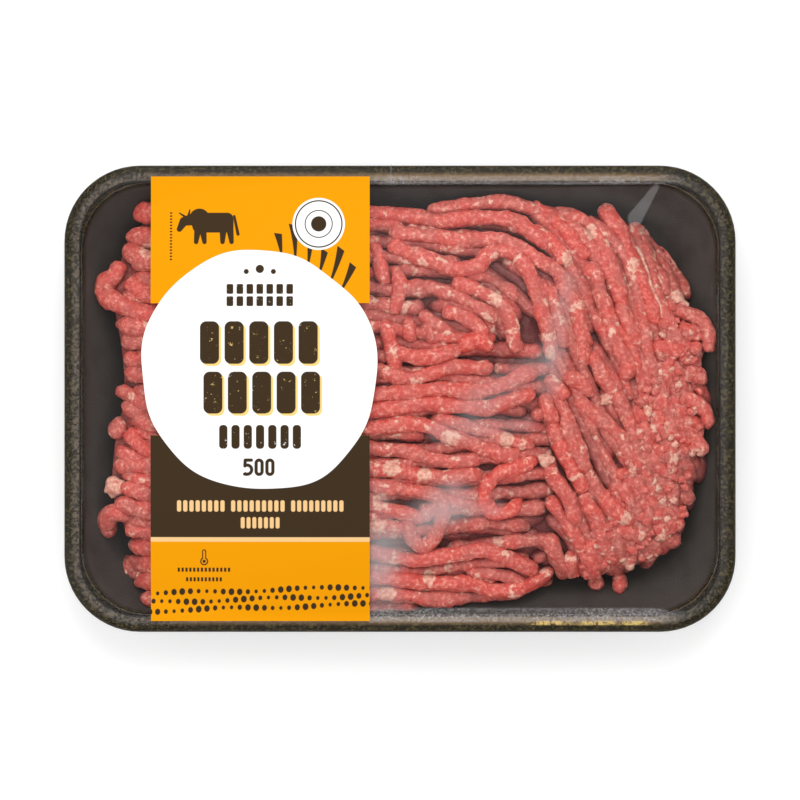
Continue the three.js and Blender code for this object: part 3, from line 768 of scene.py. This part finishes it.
def meat_finish():
    f = Finish("raw_meat")
    place = f.object_place()
    makeup_and_shade = f.node("ShaderNodeAttribute", {"attribute_name": "makeup_and_shade"}).outputs["Vector"]
    fat, tone, shade_depth = f.split(makeup_and_shade)
    blots = f.noise(place, 5.5, 3)
    specks = f.noise(place, 1.3, 3, 0.6)
    flecks = f.noise(place, 2.6, 3, 0.6)
    grain = f.noise(place, 0.5, 3, 0.65)

    redness = (tone + (blots - 0.5) * 3.0).clamped()
    lean = f.mixed(redness, linear(196, 99, 88), linear(217, 81, 70))
    lean = f.mixed((tone - 0.95) * 1.5, lean, linear(222, 66, 52))
    lean = f.mixed(flecks.step(0.44, 0.62) * 0.45, lean, linear(224, 127, 114))
    lean = f.mixed(specks.step(0.62, 0.38) * 0.42, lean, linear(162, 56, 50))
    lean = f.mixed(specks.step(0.5, 0.76) * 0.62, lean, linear(232, 154, 137))
    lean = f.mixed(grain.step(0.5, 0.78) * 0.36, lean, linear(238, 178, 158))
    fat_colour = f.mixed(specks.step(0.35, 0.65), linear(216, 140, 122), linear(240, 198, 174))
    fleck = (flecks + grain * 0.25).step(0.76, 0.84) * 0.75
    fat_share = (fat + (specks - 0.5) * 1.6 + (grain - 0.5) * 0.8).step(0.35, 0.8).most(fleck)
    colour = f.mixed(fat_share * 0.8, lean, fat_colour)
    # Painted shade, darkest deep below the heap's top: in the gaps between and under strands
    colour = f.mixed(shade_depth.step(0.2, 0.8) * 0.88, colour, linear(80, 22, 24))

    normal = f.bump(grain + specks * 0.7, 0.4, 1.0)
    shader = f.node("ShaderNodeBsdfPrincipled", {}, {
        "Base Color": colour, "Roughness": 0.34 + grain * 0.25, "Normal": normal, "IOR": 1.4,
        "Subsurface Weight": 0.12, "Subsurface Radius": (1.0, 0.3, 0.2), "Subsurface Scale": 0.0018,
        "Coat Weight": 0.15, "Coat Roughness": 0.25,
    })
    return f.end(shader.outputs[0])


def between_corners(x):
    """1 along the rim's long sides, and 0 round its corners."""
    return x.step(-80, -60) * x.step(90, 78)


def foam_finish():
    f = Finish("dark_foam")
    place = f.object_place()
    x, y, z = (v * 1000 for v in f.split(place))
    mottle = f.noise(place, 7, 3)
    grain = f.noise(place, 0.9, 2, 0.6)
    inset = rounded_inset(x, y)
    on_rim = z.step(RIM_TOP - 3, RIM_TOP - 0.6)
    colour = f.mixed(on_rim, linear(66, 61, 58), linear(22, 17, 0))
    colour = f.mixed(mottle.step(0.4, 0.7) * 0.3, colour, linear(42, 36, 30))
    colour = f.mixed(grain.step(0.48, 0.66) * (on_rim * 0.5 + 0.08), colour, linear(92, 80, 46))
    # The rim's inner half is paler, less so at the right end, and most of all along the long sides, where a
    # warm painted glint lightens it
    lip = on_rim * inset.step(2.4, 4.2) * inset.step(5.6, 5.2) * (1 - x.step(70, 95) * 0.75)
    colour = f.mixed(lip * (grain.step(0.4, 0.6) * 0.6 + 0.1), colour, linear(104, 92, 80))
    long_side = (y.math("ABSOLUTE") - 60).step(0, 8) * between_corners(x)
    colour = f.mixed(lip * long_side * 0.5, colour, linear(150, 120, 84))
    # Painted shadow: a dark line runs round just inside the rim
    painted_shadow_line = (inset - 5.8 - long_side * (1.3 - y * 0.005)).math("ABSOLUTE").step(0.65, 0.3)
    colour = f.mixed(painted_shadow_line * z.step(RIM_TOP - 5, RIM_TOP - 3) * 0.85, colour, linear(18, 13, 12))
    # Painted golden glints shine on the near rim, broken up by the grain and mottle
    glint_breakup = grain.step(0.35, 0.55) * mottle.step(0.3, 0.5)
    painted_glint = (y + GLINT_LINE).math("ABSOLUTE").step(0.9, 0.4) * x.step(38, 44) * x.step(80, 74)
    colour = f.mixed(painted_glint * on_rim * glint_breakup * 0.85, colour, linear(214, 184, 108))
    rough = (grain + f.cells(place, 1.6) * 0.5) * (on_rim * 0.8 + 0.2)
    normal = f.bump(rough, 0.1, 0.62)
    shader = f.node("ShaderNodeBsdfPrincipled", {}, {
        "Base Color": colour, "Roughness": 0.55 + mottle * 0.15, "Normal": normal, "Specular IOR Level": 0.12,
    })
    return f.end(shader.outputs[0])


def film_finish():
    f = Finish("stretch_film")
    place = f.object_place()
    x, y, z = (v * 1000 for v in f.split(place))
    creases = f.noise(place, 9, 3, 0.55)
    ripples = f.noise(place, 1.3, 2, 0.5)
    normal = f.bump(creases + ripples * 0.12, 0.2, 0.4)
    gloss = f.node("ShaderNodeBsdfGlossy", {}, {"Roughness": 0.2, "Normal": normal})
    clear = f.node("ShaderNodeBsdfTransparent", {}, {"Color": (0.99, 0.99, 0.99, 1)})
    facing = Num(f, f.node("ShaderNodeLayerWeight", {}, {"Blend": 0.5}).outputs["Facing"])
    mirror = facing.math("POWER", 5.0) * 0.12 + 0.006
    skin = f.node("ShaderNodeMixShader", {}, {0: mirror, 1: clear.outputs[0], 2: gloss.outputs[0]})
    # The milky layer shows the folds' haze, and also painted glare and painted reflections
    milk_and_glare = f.node("ShaderNodeBsdfDiffuse", {}, {"Color": (0.62, 0.6, 0.6, 1)})
    haze_and_glare = haze_and_glare_share(f, place, x, y, z)
    film = f.node("ShaderNodeMixShader", {}, {0: haze_and_glare, 1: skin.outputs[0], 2: milk_and_glare.outputs[0]})
    return f.end(film.outputs[0])


def haze_and_glare_share(f, place, x, y, z):
    """How milky the film looks: along its folds, partly a painted reflection; in a painted glare band on the
    rim; and where it overlaps below.
    """
    warp = f.noise(place, 20, 3)
    ink = Ink(f, x, y)
    haze_and_glare = 0.005
    for *ends, half_width, half_tip, softness, share in FOLDS_AND_REFLECTIONS:
        away = ink.from_line(*ends, half_width, half_tip) + (warp - 0.5) * softness * 2
        haze_and_glare = away.step(softness, -softness) * share + haze_and_glare
    speckle = f.noise(place, 0.8, 2, 0.7).step(0.38, 0.66)
    glint = rim_glare_band(x, y, z) * (0.12 + speckle * 0.32) * (0.2 + warp)
    return (haze_and_glare + glint + overlap(x, y, z) * (0.12 + warp * 0.3)).clamped()


def rim_glare_band(x, y, z):
    """A painted glare band of milky white on the rim's inner half, strongest and widest along the front."""
    between = between_corners(x)
    front, back = y.step(-58, -66) * between, y.step(58, 66) * between
    middle = 4.4 + back * 0.9 + front * 1.7
    away = (rounded_inset(x, y) - middle).math("ABSOLUTE") - front * 0.9
    long_side = (y.math("ABSOLUTE") - 63).step(0, 4) * (between * 0.9 + 0.1)
    strength = long_side * (1.0 - y * 0.003) + 0.15
    return away.step(1.8, 0.8) * z.step(RIM_TOP - 1.5, RIM_TOP - 0.5) * strength


def overlap(x, y, z):
    """Where the film's edges overlap under the tray: a seam along its middle, and both ends."""
    seam = y.math("ABSOLUTE").step(7.6, 7.0) * x.math("ABSOLUTE").step(70, 66)
    ends = x.math("ABSOLUTE").step(82, 84)
    return z.step(1.6, 0.8) * seam.most(ends)


def rounded_inset(x, y):
    """The distance from the pack's outline, inwards."""
    dx = x.math("ABSOLUTE") - (PACK_LENGTH / 2 - CORNER_RADIUS)
    dy = y.math("ABSOLUTE") - (PACK_WIDTH / 2 - CORNER_RADIUS)
    out = (dx.most(0.0) * dx.most(0.0) + dy.most(0.0) * dy.most(0.0)).math("SQRT")
    return CORNER_RADIUS - (out + dx.most(dy).least(0.0))


def label_finish():
    f = Finish("printed_label")
    place = f.object_place()
    x, y, _ = (v * 1000 for v in f.split(place))
    yellow, brown, cream = linear(226, 147, 0), linear(58, 44, 28), linear(230, 189, 132)
    white = linear(244, 244, 243)
    ink = Ink(f, x, y)
    colour = f.mixed(ink.below(LOWER_PANEL_TOP), yellow, brown)
    colour = f.mixed(ink.below(CREAM_TOP), colour, cream)
    colour = f.mixed(ink.below(CREAM_BOTTOM), colour, yellow)
    upright = blocks(Ink(f, y, x), [UPRIGHT_ROW])
    colour = f.mixed(union([bull(ink), grass(ink), upright]), colour, brown)
    colour = f.mixed(badge(ink), colour, white)
    colour = f.mixed(badge_rings(ink), colour, brown)
    colour = f.mixed(ink.inside(ink.round_disc()[1]), colour, white)
    colour = f.mixed(blocks(ink, TITLE_ROWS, 0.7), colour, linear(236, 200, 122))
    scuffed = 1 - (f.noise(place, 1.6, 4, 0.75).step(0.63, 0.68) * 0.7)
    colour = f.mixed(blocks(ink, TITLE_ROWS + WORD_ROWS) * scuffed, colour, brown)
    colour = f.mixed(crest(ink), colour, brown)
    colour = f.mixed(weight_figure(ink), colour, brown)
    colour = f.mixed(blocks(ink, BAND_ROWS), colour, cream)
    colour = f.mixed(union([thermometer(ink), dot_rows(ink), blocks(ink, SMALL_ROWS)]), colour, brown)
    fibre = f.noise(place, 0.6, 2)
    swell = f.noise(place, 16, 2)
    normal = f.bump(swell + fibre * 0.03, 0.5, 0.35)
    shader = f.node("ShaderNodeBsdfPrincipled", {}, {
        "Base Color": colour, "Roughness": 0.6 + fibre * 0.1, "Normal": normal, "Specular IOR Level": 0.05,
    })
    return f.end(shader.outputs[0])


class Ink:
    """Printed shapes on the label, each a share of 0 to 1, from its x and y in millimetres."""

    EDGE = 0.12

    def __init__(self, finish, x, y):
        self.finish, self.x, self.y = finish, x, y

    def inside(self, distance):
        return distance.step(self.EDGE, -self.EDGE)

    def below(self, level):
        return self.inside(self.y - level)

    def rounded(self, dx, dy, half_x, half_y, radius):
        """A box with rounded corners, from the distances to its middle lines."""
        across, along = dx - (half_x - radius), dy - (half_y - radius)
        out_x, out_y = across.most(0.0), along.most(0.0)
        out = (out_x * out_x + out_y * out_y).math("SQRT") + across.most(along).least(0.0)
        return self.inside(out - radius)

    def round_box(self, x, y, half_x, half_y, radius):
        dx, dy = (self.x - x).math("ABSOLUTE"), (self.y - y).math("ABSOLUTE")
        return self.rounded(dx, dy, half_x, half_y, radius)

    def from_point(self, x, y):
        dx, dy = self.x - x, self.y - y
        return (dx * dx + dy * dy).math("SQRT")

    def dot(self, x, y, radius):
        return self.inside(self.from_point(x, y) - radius)

    def ring(self, x, y, radius, width):
        return self.inside((self.from_point(x, y) - radius).math("ABSOLUTE") - width / 2)

    def from_line(self, x0, y0, x1, y1, half_width=0.0, half_tip=0.0):
        """The distance from a line that may have a width, different at its two ends."""
        dx, dy = x1 - x0, y1 - y0
        px, py = self.x - x0, self.y - y0
        t = ((px * dx + py * dy) * (1 / (dx * dx + dy * dy))).clamped()
        qx, qy = px - t * dx, py - t * dy
        return (qx * qx + qy * qy).math("SQRT") - (t * (half_tip - half_width) + half_width)

    def stroke(self, x0, y0, x1, y1, width, tip=None):
        """A line with round ends, which may thin out to another width."""
        return self.inside(self.from_line(x0, y0, x1, y1, width / 2, (width if tip is None else tip) / 2))

    def round_disc(self):
        """The angle round the disc's centre, and how far outside the disc's hand-cut edge a place lies."""
        px, py = self.x - DISC_CENTRE[0], self.y - DISC_CENTRE[1]
        turn = py.math("ARCTAN2", px)
        uneven = sum((turn * count - crest).math("COSINE") * depth for count, depth, crest in DISC_WAVES)
        return turn, (px * px + py * py).math("SQRT") - uneven - DISC_RADIUS


def union(shares):
    total = shares[0]
    for share in shares[1:]:
        total = total.most(share)
    return total


def bull(ink):
    """A bull that stands and looks left."""
    shapes = [
        ink.round_box(-58.0, 54.6, 6.4, 3.1, 2.0),
        ink.dot(-62.2, 55.8, 3.2),
        ink.stroke(-63.6, 55.8, -67.0, 55.0, 4.0, 2.8),
        ink.stroke(-67.0, 55.0, -68.4, 52.6, 2.8, 1.7),
        ink.stroke(-66.6, 56.4, -68.4, 57.6, 0.8, 0.4),
        ink.stroke(-65.6, 56.8, -65.2, 58.6, 0.8, 0.4),
        ink.stroke(-51.4, 56.6, -50.2, 51.0, 0.8, 1.0),
    ]
    for foot, top in ((-63.2, -62.6), (-60.6, -61.2), (-55.0, -54.8), (-52.2, -52.8)):
        shapes.append(ink.stroke(top, 53.0, foot, 48.6, 2.4, 1.4))
    return union(shapes)


def grass(ink):
    """Slanted blades round the disc's upper right, each thicker towards its tip."""
    turn, rise = ink.round_disc()
    pitch, first, last = 4.5, 0.72, 1.5
    cell = (turn - first) * (DISC_RADIUS / pitch) - rise * 0.07
    number = cell.math("FLOOR")
    height = (number * 2.1).math("SINE") * 2.0 + 7.5
    across = (cell.math("FRACT") - 0.5).math("ABSOLUTE") * pitch
    blade = ink.inside(across - (rise / height * 0.7 + 0.4)) * ink.inside(rise - height)
    count = math.floor((last - first) * DISC_RADIUS / pitch)
    return blade * ink.inside(-0.5 - number) * ink.inside(number - (count - 0.5))


def badge(ink):
    return ink.dot(*BADGE_CENTRE, 8.1)


def badge_rings(ink):
    rings = [ink.ring(*BADGE_CENTRE, 7.2, 0.45), ink.ring(*BADGE_CENTRE, 4.2, 0.35)]
    return union([*rings, ink.dot(*BADGE_CENTRE, 2.4)])


# Rows of blocks where a label has words: left, right, middle height, half height, how many, share filled
TITLE_ROWS = [
    (-62.8, -24.6, 17.4, 6.6, 5, 0.78),
    (-61.7, -23.9, 1.9, 6.5, 5, 0.78),
]
WORD_ROWS = [
    (-54.2, -32.6, 34.0, 1.55, 7, 0.68),
    (-54.2, -32.6, 30.2, 1.55, 7, 0.68),
    (-56.6, -30.0, -11.8, 3.7, 7, 0.68),
]
BAND_ROWS = [
    (-69.4, -54.0, -33.2, 1.75, 8, 0.68),
    (-52.6, -35.4, -33.2, 1.75, 9, 0.68),
    (-34.0, -17.2, -33.2, 1.75, 9, 0.68),
    (-49.6, -37.0, -38.4, 1.75, 7, 0.68),
]
SMALL_ROWS = [
    (-69.2, -52.4, -53.0, 0.65, 14, 0.6),
    (-66.6, -55.0, -56.0, 0.65, 10, 0.6),
]
UPRIGHT_ROW = (42.7, 58.1, -71.0, 0.35, 16, 0.5)


def blocks(ink, rows, shift=0.0):
    """Rows of equal blocks, each row repeated from one cell."""
    shapes = []
    for left, right, level, half_height, count, filled in rows:
        pitch = (right - left) / count
        cell = ((ink.x - (left + shift)) / pitch).math("FRACT")
        across = (cell - 0.5).math("ABSOLUTE") * pitch
        along = (ink.y - (level - shift)).math("ABSOLUTE")
        row = ink.rounded(across, along, filled * pitch / 2, half_height, half_height * 0.3)
        middle = (left + right) / 2 + shift
        shapes.append(row * ink.inside((ink.x - middle).math("ABSOLUTE") - (right - left) / 2))
    return union(shapes)


def crest(ink):
    """Three dots above the words."""
    return union([ink.dot(-43.4, 40.2, 1.3), ink.dot(-47.6, 39.4, 0.8), ink.dot(-39.2, 39.4, 0.8)])


def weight_figure(ink):
    """The number 500."""
    height, width, line = 4.4, 2.9, 1.05
    left, level = -48.4, -21.2
    top, low = level + height / 2, level - height / 2
    shapes = [
        ink.stroke(left + 0.5, top, left + width - 0.5, top, line),
        ink.stroke(left + 0.5, top, left + 0.4, level + 0.4, line),
        ink.ring(left + 1.1, level - 0.75, 1.4, line) * ink.inside(left + 0.4 - ink.x),
        ink.stroke(left + 0.3, low + 0.1, left + 0.9, low, line),
    ]
    for number in (1, 2):
        middle = left + width / 2 + number * (width + 0.45)
        outer = ink.round_box(middle, level, width / 2, height / 2 + line / 2, width / 2)
        inner = ink.round_box(middle, level, width / 2 - line, height / 2 - line / 2, width / 2 - line)
        shapes.append(outer * (1 - inner))
    return union(shapes)


def thermometer(ink):
    """A thermometer in outline, with a dot in its bulb."""
    x, bulb, low, high = -60.7, -50.4, -50.2, -47.3
    glass = ink.stroke(x, low, x, high, 1.3).most(ink.dot(x, bulb, 1.25))
    hollow = ink.stroke(x, low, x, high, 0.6).most(ink.dot(x, bulb, 0.85))
    return (glass * (1 - hollow)).most(ink.dot(x, bulb, 0.5))


def dot_rows(ink):
    """Three rows of uneven dots that climb to the right."""
    spacing, row_height, first_level, slope = 2.55, 2.7, -58.0, 0.032
    rows = []
    for row in range(3):
        place = ink.x / spacing + row * 0.5
        number = place.math("FLOOR")
        wander = (number * 0.42 + row * 2).math("SINE") * 0.35
        level = ink.x * slope + wander + (first_level - row_height * row)
        across = place.math("FRACT") * spacing - spacing / 2
        along = (ink.y - level) * 0.85
        size = (number * 5.3 + row * 1.7).math("SINE") * 0.2 + 0.72
        rows.append(ink.inside((across * across + along * along).math("SQRT") - size))
    return union(rows)


# Tray, film and label

def ring_points(half_x, half_y, radius, corner, along_x, along_y):
    """A rounded rectangle's points, anticlockwise from the right side."""
    points = []
    signs = [(1, 1, along_x), (-1, 1, along_y), (-1, -1, along_x), (1, -1, along_y)]
    for quarter, (sign_x, sign_y, _) in enumerate(signs):
        for i in range(corner + 1):
            a = (quarter + i / corner) * math.pi / 2
            points.append((sign_x * (half_x - radius) + radius * math.cos(a),
                           sign_y * (half_y - radius) + radius * math.sin(a)))
    full = []
    for quarter, (_, _, along) in enumerate(signs):
        arc = points[quarter * (corner + 1):(quarter + 1) * (corner + 1)]
        full.extend(arc)
        start, end = arc[-1], points[(quarter + 1) * (corner + 1) % len(points)]
        for i in range(1, along):
            t = i / along
            full.append((start[0] + t * (end[0] - start[0]), start[1] + t * (end[1] - start[1])))
    full = np.array(full)
    return full[np.argsort(np.arctan2(full[:, 1], full[:, 0]) % TAU)]


def inset_ring(inset, counts):
    radius = CORNER_RADIUS - CORNER_TIGHTENING * inset
    return ring_points(PACK_LENGTH / 2 - inset, PACK_WIDTH / 2 - inset, radius, *counts)


def grown_shell(name, rings):
    """A closed shell grown ring by ring from a circle; each ring is an array of (x, y, z)."""
    bpy.ops.object.select_all(action="DESELECT")
    bpy.ops.mesh.primitive_circle_add(vertices=len(rings[0]), radius=0.1)
    shell = bpy.context.object
    shell.name = name
    bpy.ops.object.mode_set(mode="EDIT")
    for number, ring in enumerate(rings):
        if number:
            bpy.ops.mesh.extrude_region_move()
        cage = bmesh.from_edit_mesh(shell.data)
        chosen = [v for v in cage.verts if v.select]
        chosen.sort(key=lambda v: math.atan2(v.co.y, v.co.x) % TAU)
        for vertex, place in zip(chosen, ring):
            vertex.co = [v * MM for v in place]
        if number == 0:
            bpy.ops.mesh.edge_face_add()
            cage = bmesh.from_edit_mesh(shell.data)
            for face in cage.faces:
                face.select = False
            for edge in cage.edges:
                edge.select = True
    bpy.ops.mesh.edge_face_add()
    bpy.ops.mesh.select_all(action="SELECT")
    bpy.ops.mesh.normals_make_consistent(inside=False)
    bpy.ops.object.mode_set(mode="OBJECT")
    return shell


def rounded_profile(points, steps):
    """A smooth line through a profile's points."""
    out = []
    for a, b, c, d in stretches(points):
        reach = np.linalg.norm(c - b)
        before, after = c - a, d - b
        before *= reach / max(np.linalg.norm(before), 1e-6)
        after *= reach / max(np.linalg.norm(after), 1e-6)
        for t in np.arange(steps) / steps:
            h = (2 * t**3 - 3 * t**2 + 1, t**3 - 2 * t**2 + t, -2 * t**3 + 3 * t**2, t**3 - t**2)
            out.append(h[0] * b + h[1] * before + h[2] * c + h[3] * after)
    return [*out, np.array(points[-1], float)]


def make_tray():
    counts = (14, 1, 1)
    rings = []
    for inset, height in rounded_profile(TRAY_OUTSIDE, 2) + rounded_profile(TRAY_INSIDE, 2):
        outline = inset_ring(inset + TRAY_INSET, counts)
        rings.append(np.column_stack([outline, np.full(len(outline), TRAY_BASE + height)]))
    tray = grown_shell("foam_tray", rings)
    bpy.ops.object.shade_smooth_by_angle(angle=math.radians(50))
    return fitted(tray, foam_finish(), "tray")


def make_film():
    counts = (14, 45, 31)
    rings = []
    for inset, height in rounded_profile(WRAP_LINE, 3)[::-1]:
        outline = inset_ring(inset + TRAY_INSET, counts)
        level = np.full(len(outline), TRAY_BASE + height)
        angle = np.arctan2(outline[:, 1], outline[:, 0])
        corner = smooth(0.92, 1, np.abs(np.sin(2 * angle)))
        on_wall = smooth(0, 6, height) * smooth(21, 12, height)
        pleat = PLEAT_DEPTH * corner * np.abs(np.sin(angle * FILM_PLEATS)) * on_wall
        outward = outline / np.linalg.norm(outline, axis=1, keepdims=True)
        rings.append(np.column_stack([outline - outward * pleat[:, None], level]))
    for share in np.linspace(1, 0.02, 34):
        outline = inset_ring(RIM_INNER_INSET, counts) * share
        level = FILM_OVER - 0.2 + dome_lift(outline[:, 0], outline[:, 1])
        ring = np.column_stack([outline, level])
        ring[:, 2] += 0.12 * lumps(ring, 14)
        rings.append(ring)
    film = grown_shell("clear_film", rings)
    bpy.ops.object.shade_smooth()
    return fitted(film, film_finish(), "film")


def cutter_box(low, high):
    """A tall block over one of the label's panels."""
    middle = ((LABEL_LEFT + LABEL_RIGHT) / 2 * MM, (low + high) / 2 * MM, 0)
    size = ((LABEL_RIGHT - LABEL_LEFT) * MM, (high - low) * MM, 0.01)
    bpy.ops.mesh.primitive_cube_add(size=1, location=middle, scale=size)
    bpy.ops.object.transform_apply(location=True, rotation=True, scale=True)
    return bpy.context.object


def cutter_disc():
    """A tall drum over the label's disc, whose edge wanders as if cut by hand."""
    bpy.ops.mesh.primitive_cylinder_add(vertices=144, radius=1, depth=0.012)
    drum = bpy.context.object
    for vertex in drum.data.vertices:
        a = math.atan2(vertex.co.y, vertex.co.x)
        uneven = sum(depth * math.cos(count * a - crest) for count, depth, crest in DISC_WAVES)
        vertex.co.x = (DISC_CENTRE[0] + (DISC_RADIUS + uneven) * math.cos(a)) * MM
        vertex.co.y = (DISC_CENTRE[1] + (DISC_RADIUS + uneven) * math.sin(a)) * MM
    return drum


def join_solids(piece, other, operation):
    """Applies a Boolean modifier with another solid, which is then removed."""
    made = piece.modifiers.new("cut", "BOOLEAN")
    made.operation = operation
    made.solver = "EXACT"
    made.object = other
    bpy.context.view_layer.objects.active = piece
    bpy.ops.object.modifier_apply(modifier="cut")
    bpy.data.objects.remove(other)


def make_label():
    middle = (LABEL_LEFT + LABEL_RIGHT) / 2
    bpy.ops.object.select_all(action="DESELECT")
    place = (middle * MM, 0, 0)
    bpy.ops.mesh.primitive_grid_add(x_subdivisions=52, y_subdivisions=92, size=1, location=place)
    label = bpy.context.object
    label.name = "die_cut_label"
    label.scale = (LABEL_SHEET[0] * MM, LABEL_SHEET[1] * MM, 1)
    bpy.ops.object.transform_apply(location=True, rotation=True, scale=True)
    made = label.modifiers.new("sheet", "SOLIDIFY")
    made.thickness = LABEL_THICKNESS * MM
    made.offset = -1
    bpy.ops.object.modifier_apply(modifier="sheet")
    outline = cutter_disc()
    join_solids(outline, cutter_box(UPPER_PANEL_BOTTOM, LABEL_HALF_HEIGHT), "UNION")
    join_solids(outline, cutter_box(-LABEL_HALF_HEIGHT, LOWER_PANEL_TOP), "UNION")
    join_solids(label, outline, "INTERSECT")
    co = np.empty(len(label.data.vertices) * 3)
    label.data.vertices.foreach_get("co", co)
    co = co.reshape(-1, 3) / MM
    co[:, 2] += FILM_OVER + GAP + LABEL_THICKNESS + dome_lift(co[:, 0], co[:, 1])
    label.data.vertices.foreach_set("co", (co * MM).ravel())
    bpy.ops.object.select_all(action="DESELECT")
    label.select_set(True)
    bpy.ops.object.shade_smooth_by_angle(angle=math.radians(40))
    return fitted(label, label_finish(), "label")


def make_meat():
    rng = np.random.default_rng(21)
    finish = meat_finish()
    shown, rows, block, under, crumbs, bed = (Heap() for _ in range(6))
    add_rows(rows, rng, 0.75, 13, 0.15, 0)
    add_shown_strands(shown, rng, SHOWN_STRANDS, 0.6, 15)
    add_block(block, rng, 0.75, 13, 0.1, 0)
    add_rows(under, rng, 1.2, 10, 1.9, ROW_SPACING / 2)
    add_block(under, rng, 1.2, 10, 1.4, ROW_SPACING / 2)
    add_crumb_strands(crumbs, rng, 0.8, 11)
    loose = scatter(rng, LOOSE_CRUMBS, lambda x, y: in_crumbs(x + 6, y))
    add_lumps(crumbs, rng, loose, rng.uniform(0.9, 2.2, len(loose)), 2, (0, 0, 0, 0, 0, 0.3, 0.8), (0, 1))
    add_lumps(crumbs, rng, [p for p, _ in FAT_LUMPS], [s for _, s in FAT_LUMPS], 3, (1,), (0.5, 0.5))
    add_shown_strands(crumbs, np.random.default_rng(4), EDGE_STRANDS, 0.6, 15)
    add_bed(bed)
    shown.piece("top_strands", finish)
    rows.piece("row_strands", finish)
    block.piece("block_strands", finish)
    under.piece("under_strands", finish)
    crumbs.piece("meat_crumbs", finish)
    bed.piece("meat_bed", finish)


def make_floor():
    """A pale floor, a little of whose white is its own light, so that shadows stay soft."""
    bpy.ops.object.select_all(action="DESELECT")
    bpy.ops.mesh.primitive_plane_add(size=8)
    floor = bpy.context.object
    floor.name = "floor"
    f = Finish("pale_floor")
    shader = f.node("ShaderNodeBsdfPrincipled", {}, {
        "Base Color": (0.66, 0.66, 0.66, 1), "Roughness": 0.9, "Specular IOR Level": 0.0,
        "Emission Color": (1, 1, 1, 1), "Emission Strength": 0.42,
    })
    floor.data.materials.append(f.end(shader.outputs[0]))


def make_lights():
    """White surroundings, and two soft lights, the stronger one above the tray's far side."""
    world = bpy.data.worlds.new("studio")
    bpy.context.scene.world = world
    world.use_nodes = True
    surroundings = world.node_tree.nodes["Background"].inputs
    surroundings["Color"].default_value = (1, 1, 1, 1)
    surroundings["Strength"].default_value = 0.8
    add_light("key", (0.05, 0.75, 1.2), 1.1, 10)
    add_light("fill", (-0.7, -0.3, 1.1), 0.9, 3)


def make_camera():
    """A camera straight overhead, which sees a given width at the rim's height."""
    camera = bpy.data.objects.new("camera", bpy.data.cameras.new("camera"))
    bpy.context.scene.collection.objects.link(camera)
    distance, seen_width, seen_level = 3.2, 248.6 * MM, 23.6 * MM
    camera.location = (0, -0.39 * MM, distance)
    camera.data.sensor_width = 36
    camera.data.lens = 36 * (distance - seen_level) / seen_width
    bpy.context.scene.camera = camera


def add_light(name, place, size, power):
    light = bpy.data.objects.new(name, bpy.data.lights.new(name, "AREA"))
    light.data.shape = "DISK"
    light.data.size = size
    light.data.energy = power
    light.location = place
    bpy.context.scene.collection.objects.link(light)
    aim = -light.location
    light.rotation_euler = aim.to_track_quat("-Z", "Y").to_euler()


make_floor()
make_lights()
make_camera()
make_meat()
make_tray()
make_film()
make_label()

bpy.context.scene.view_settings.view_transform = "Standard"
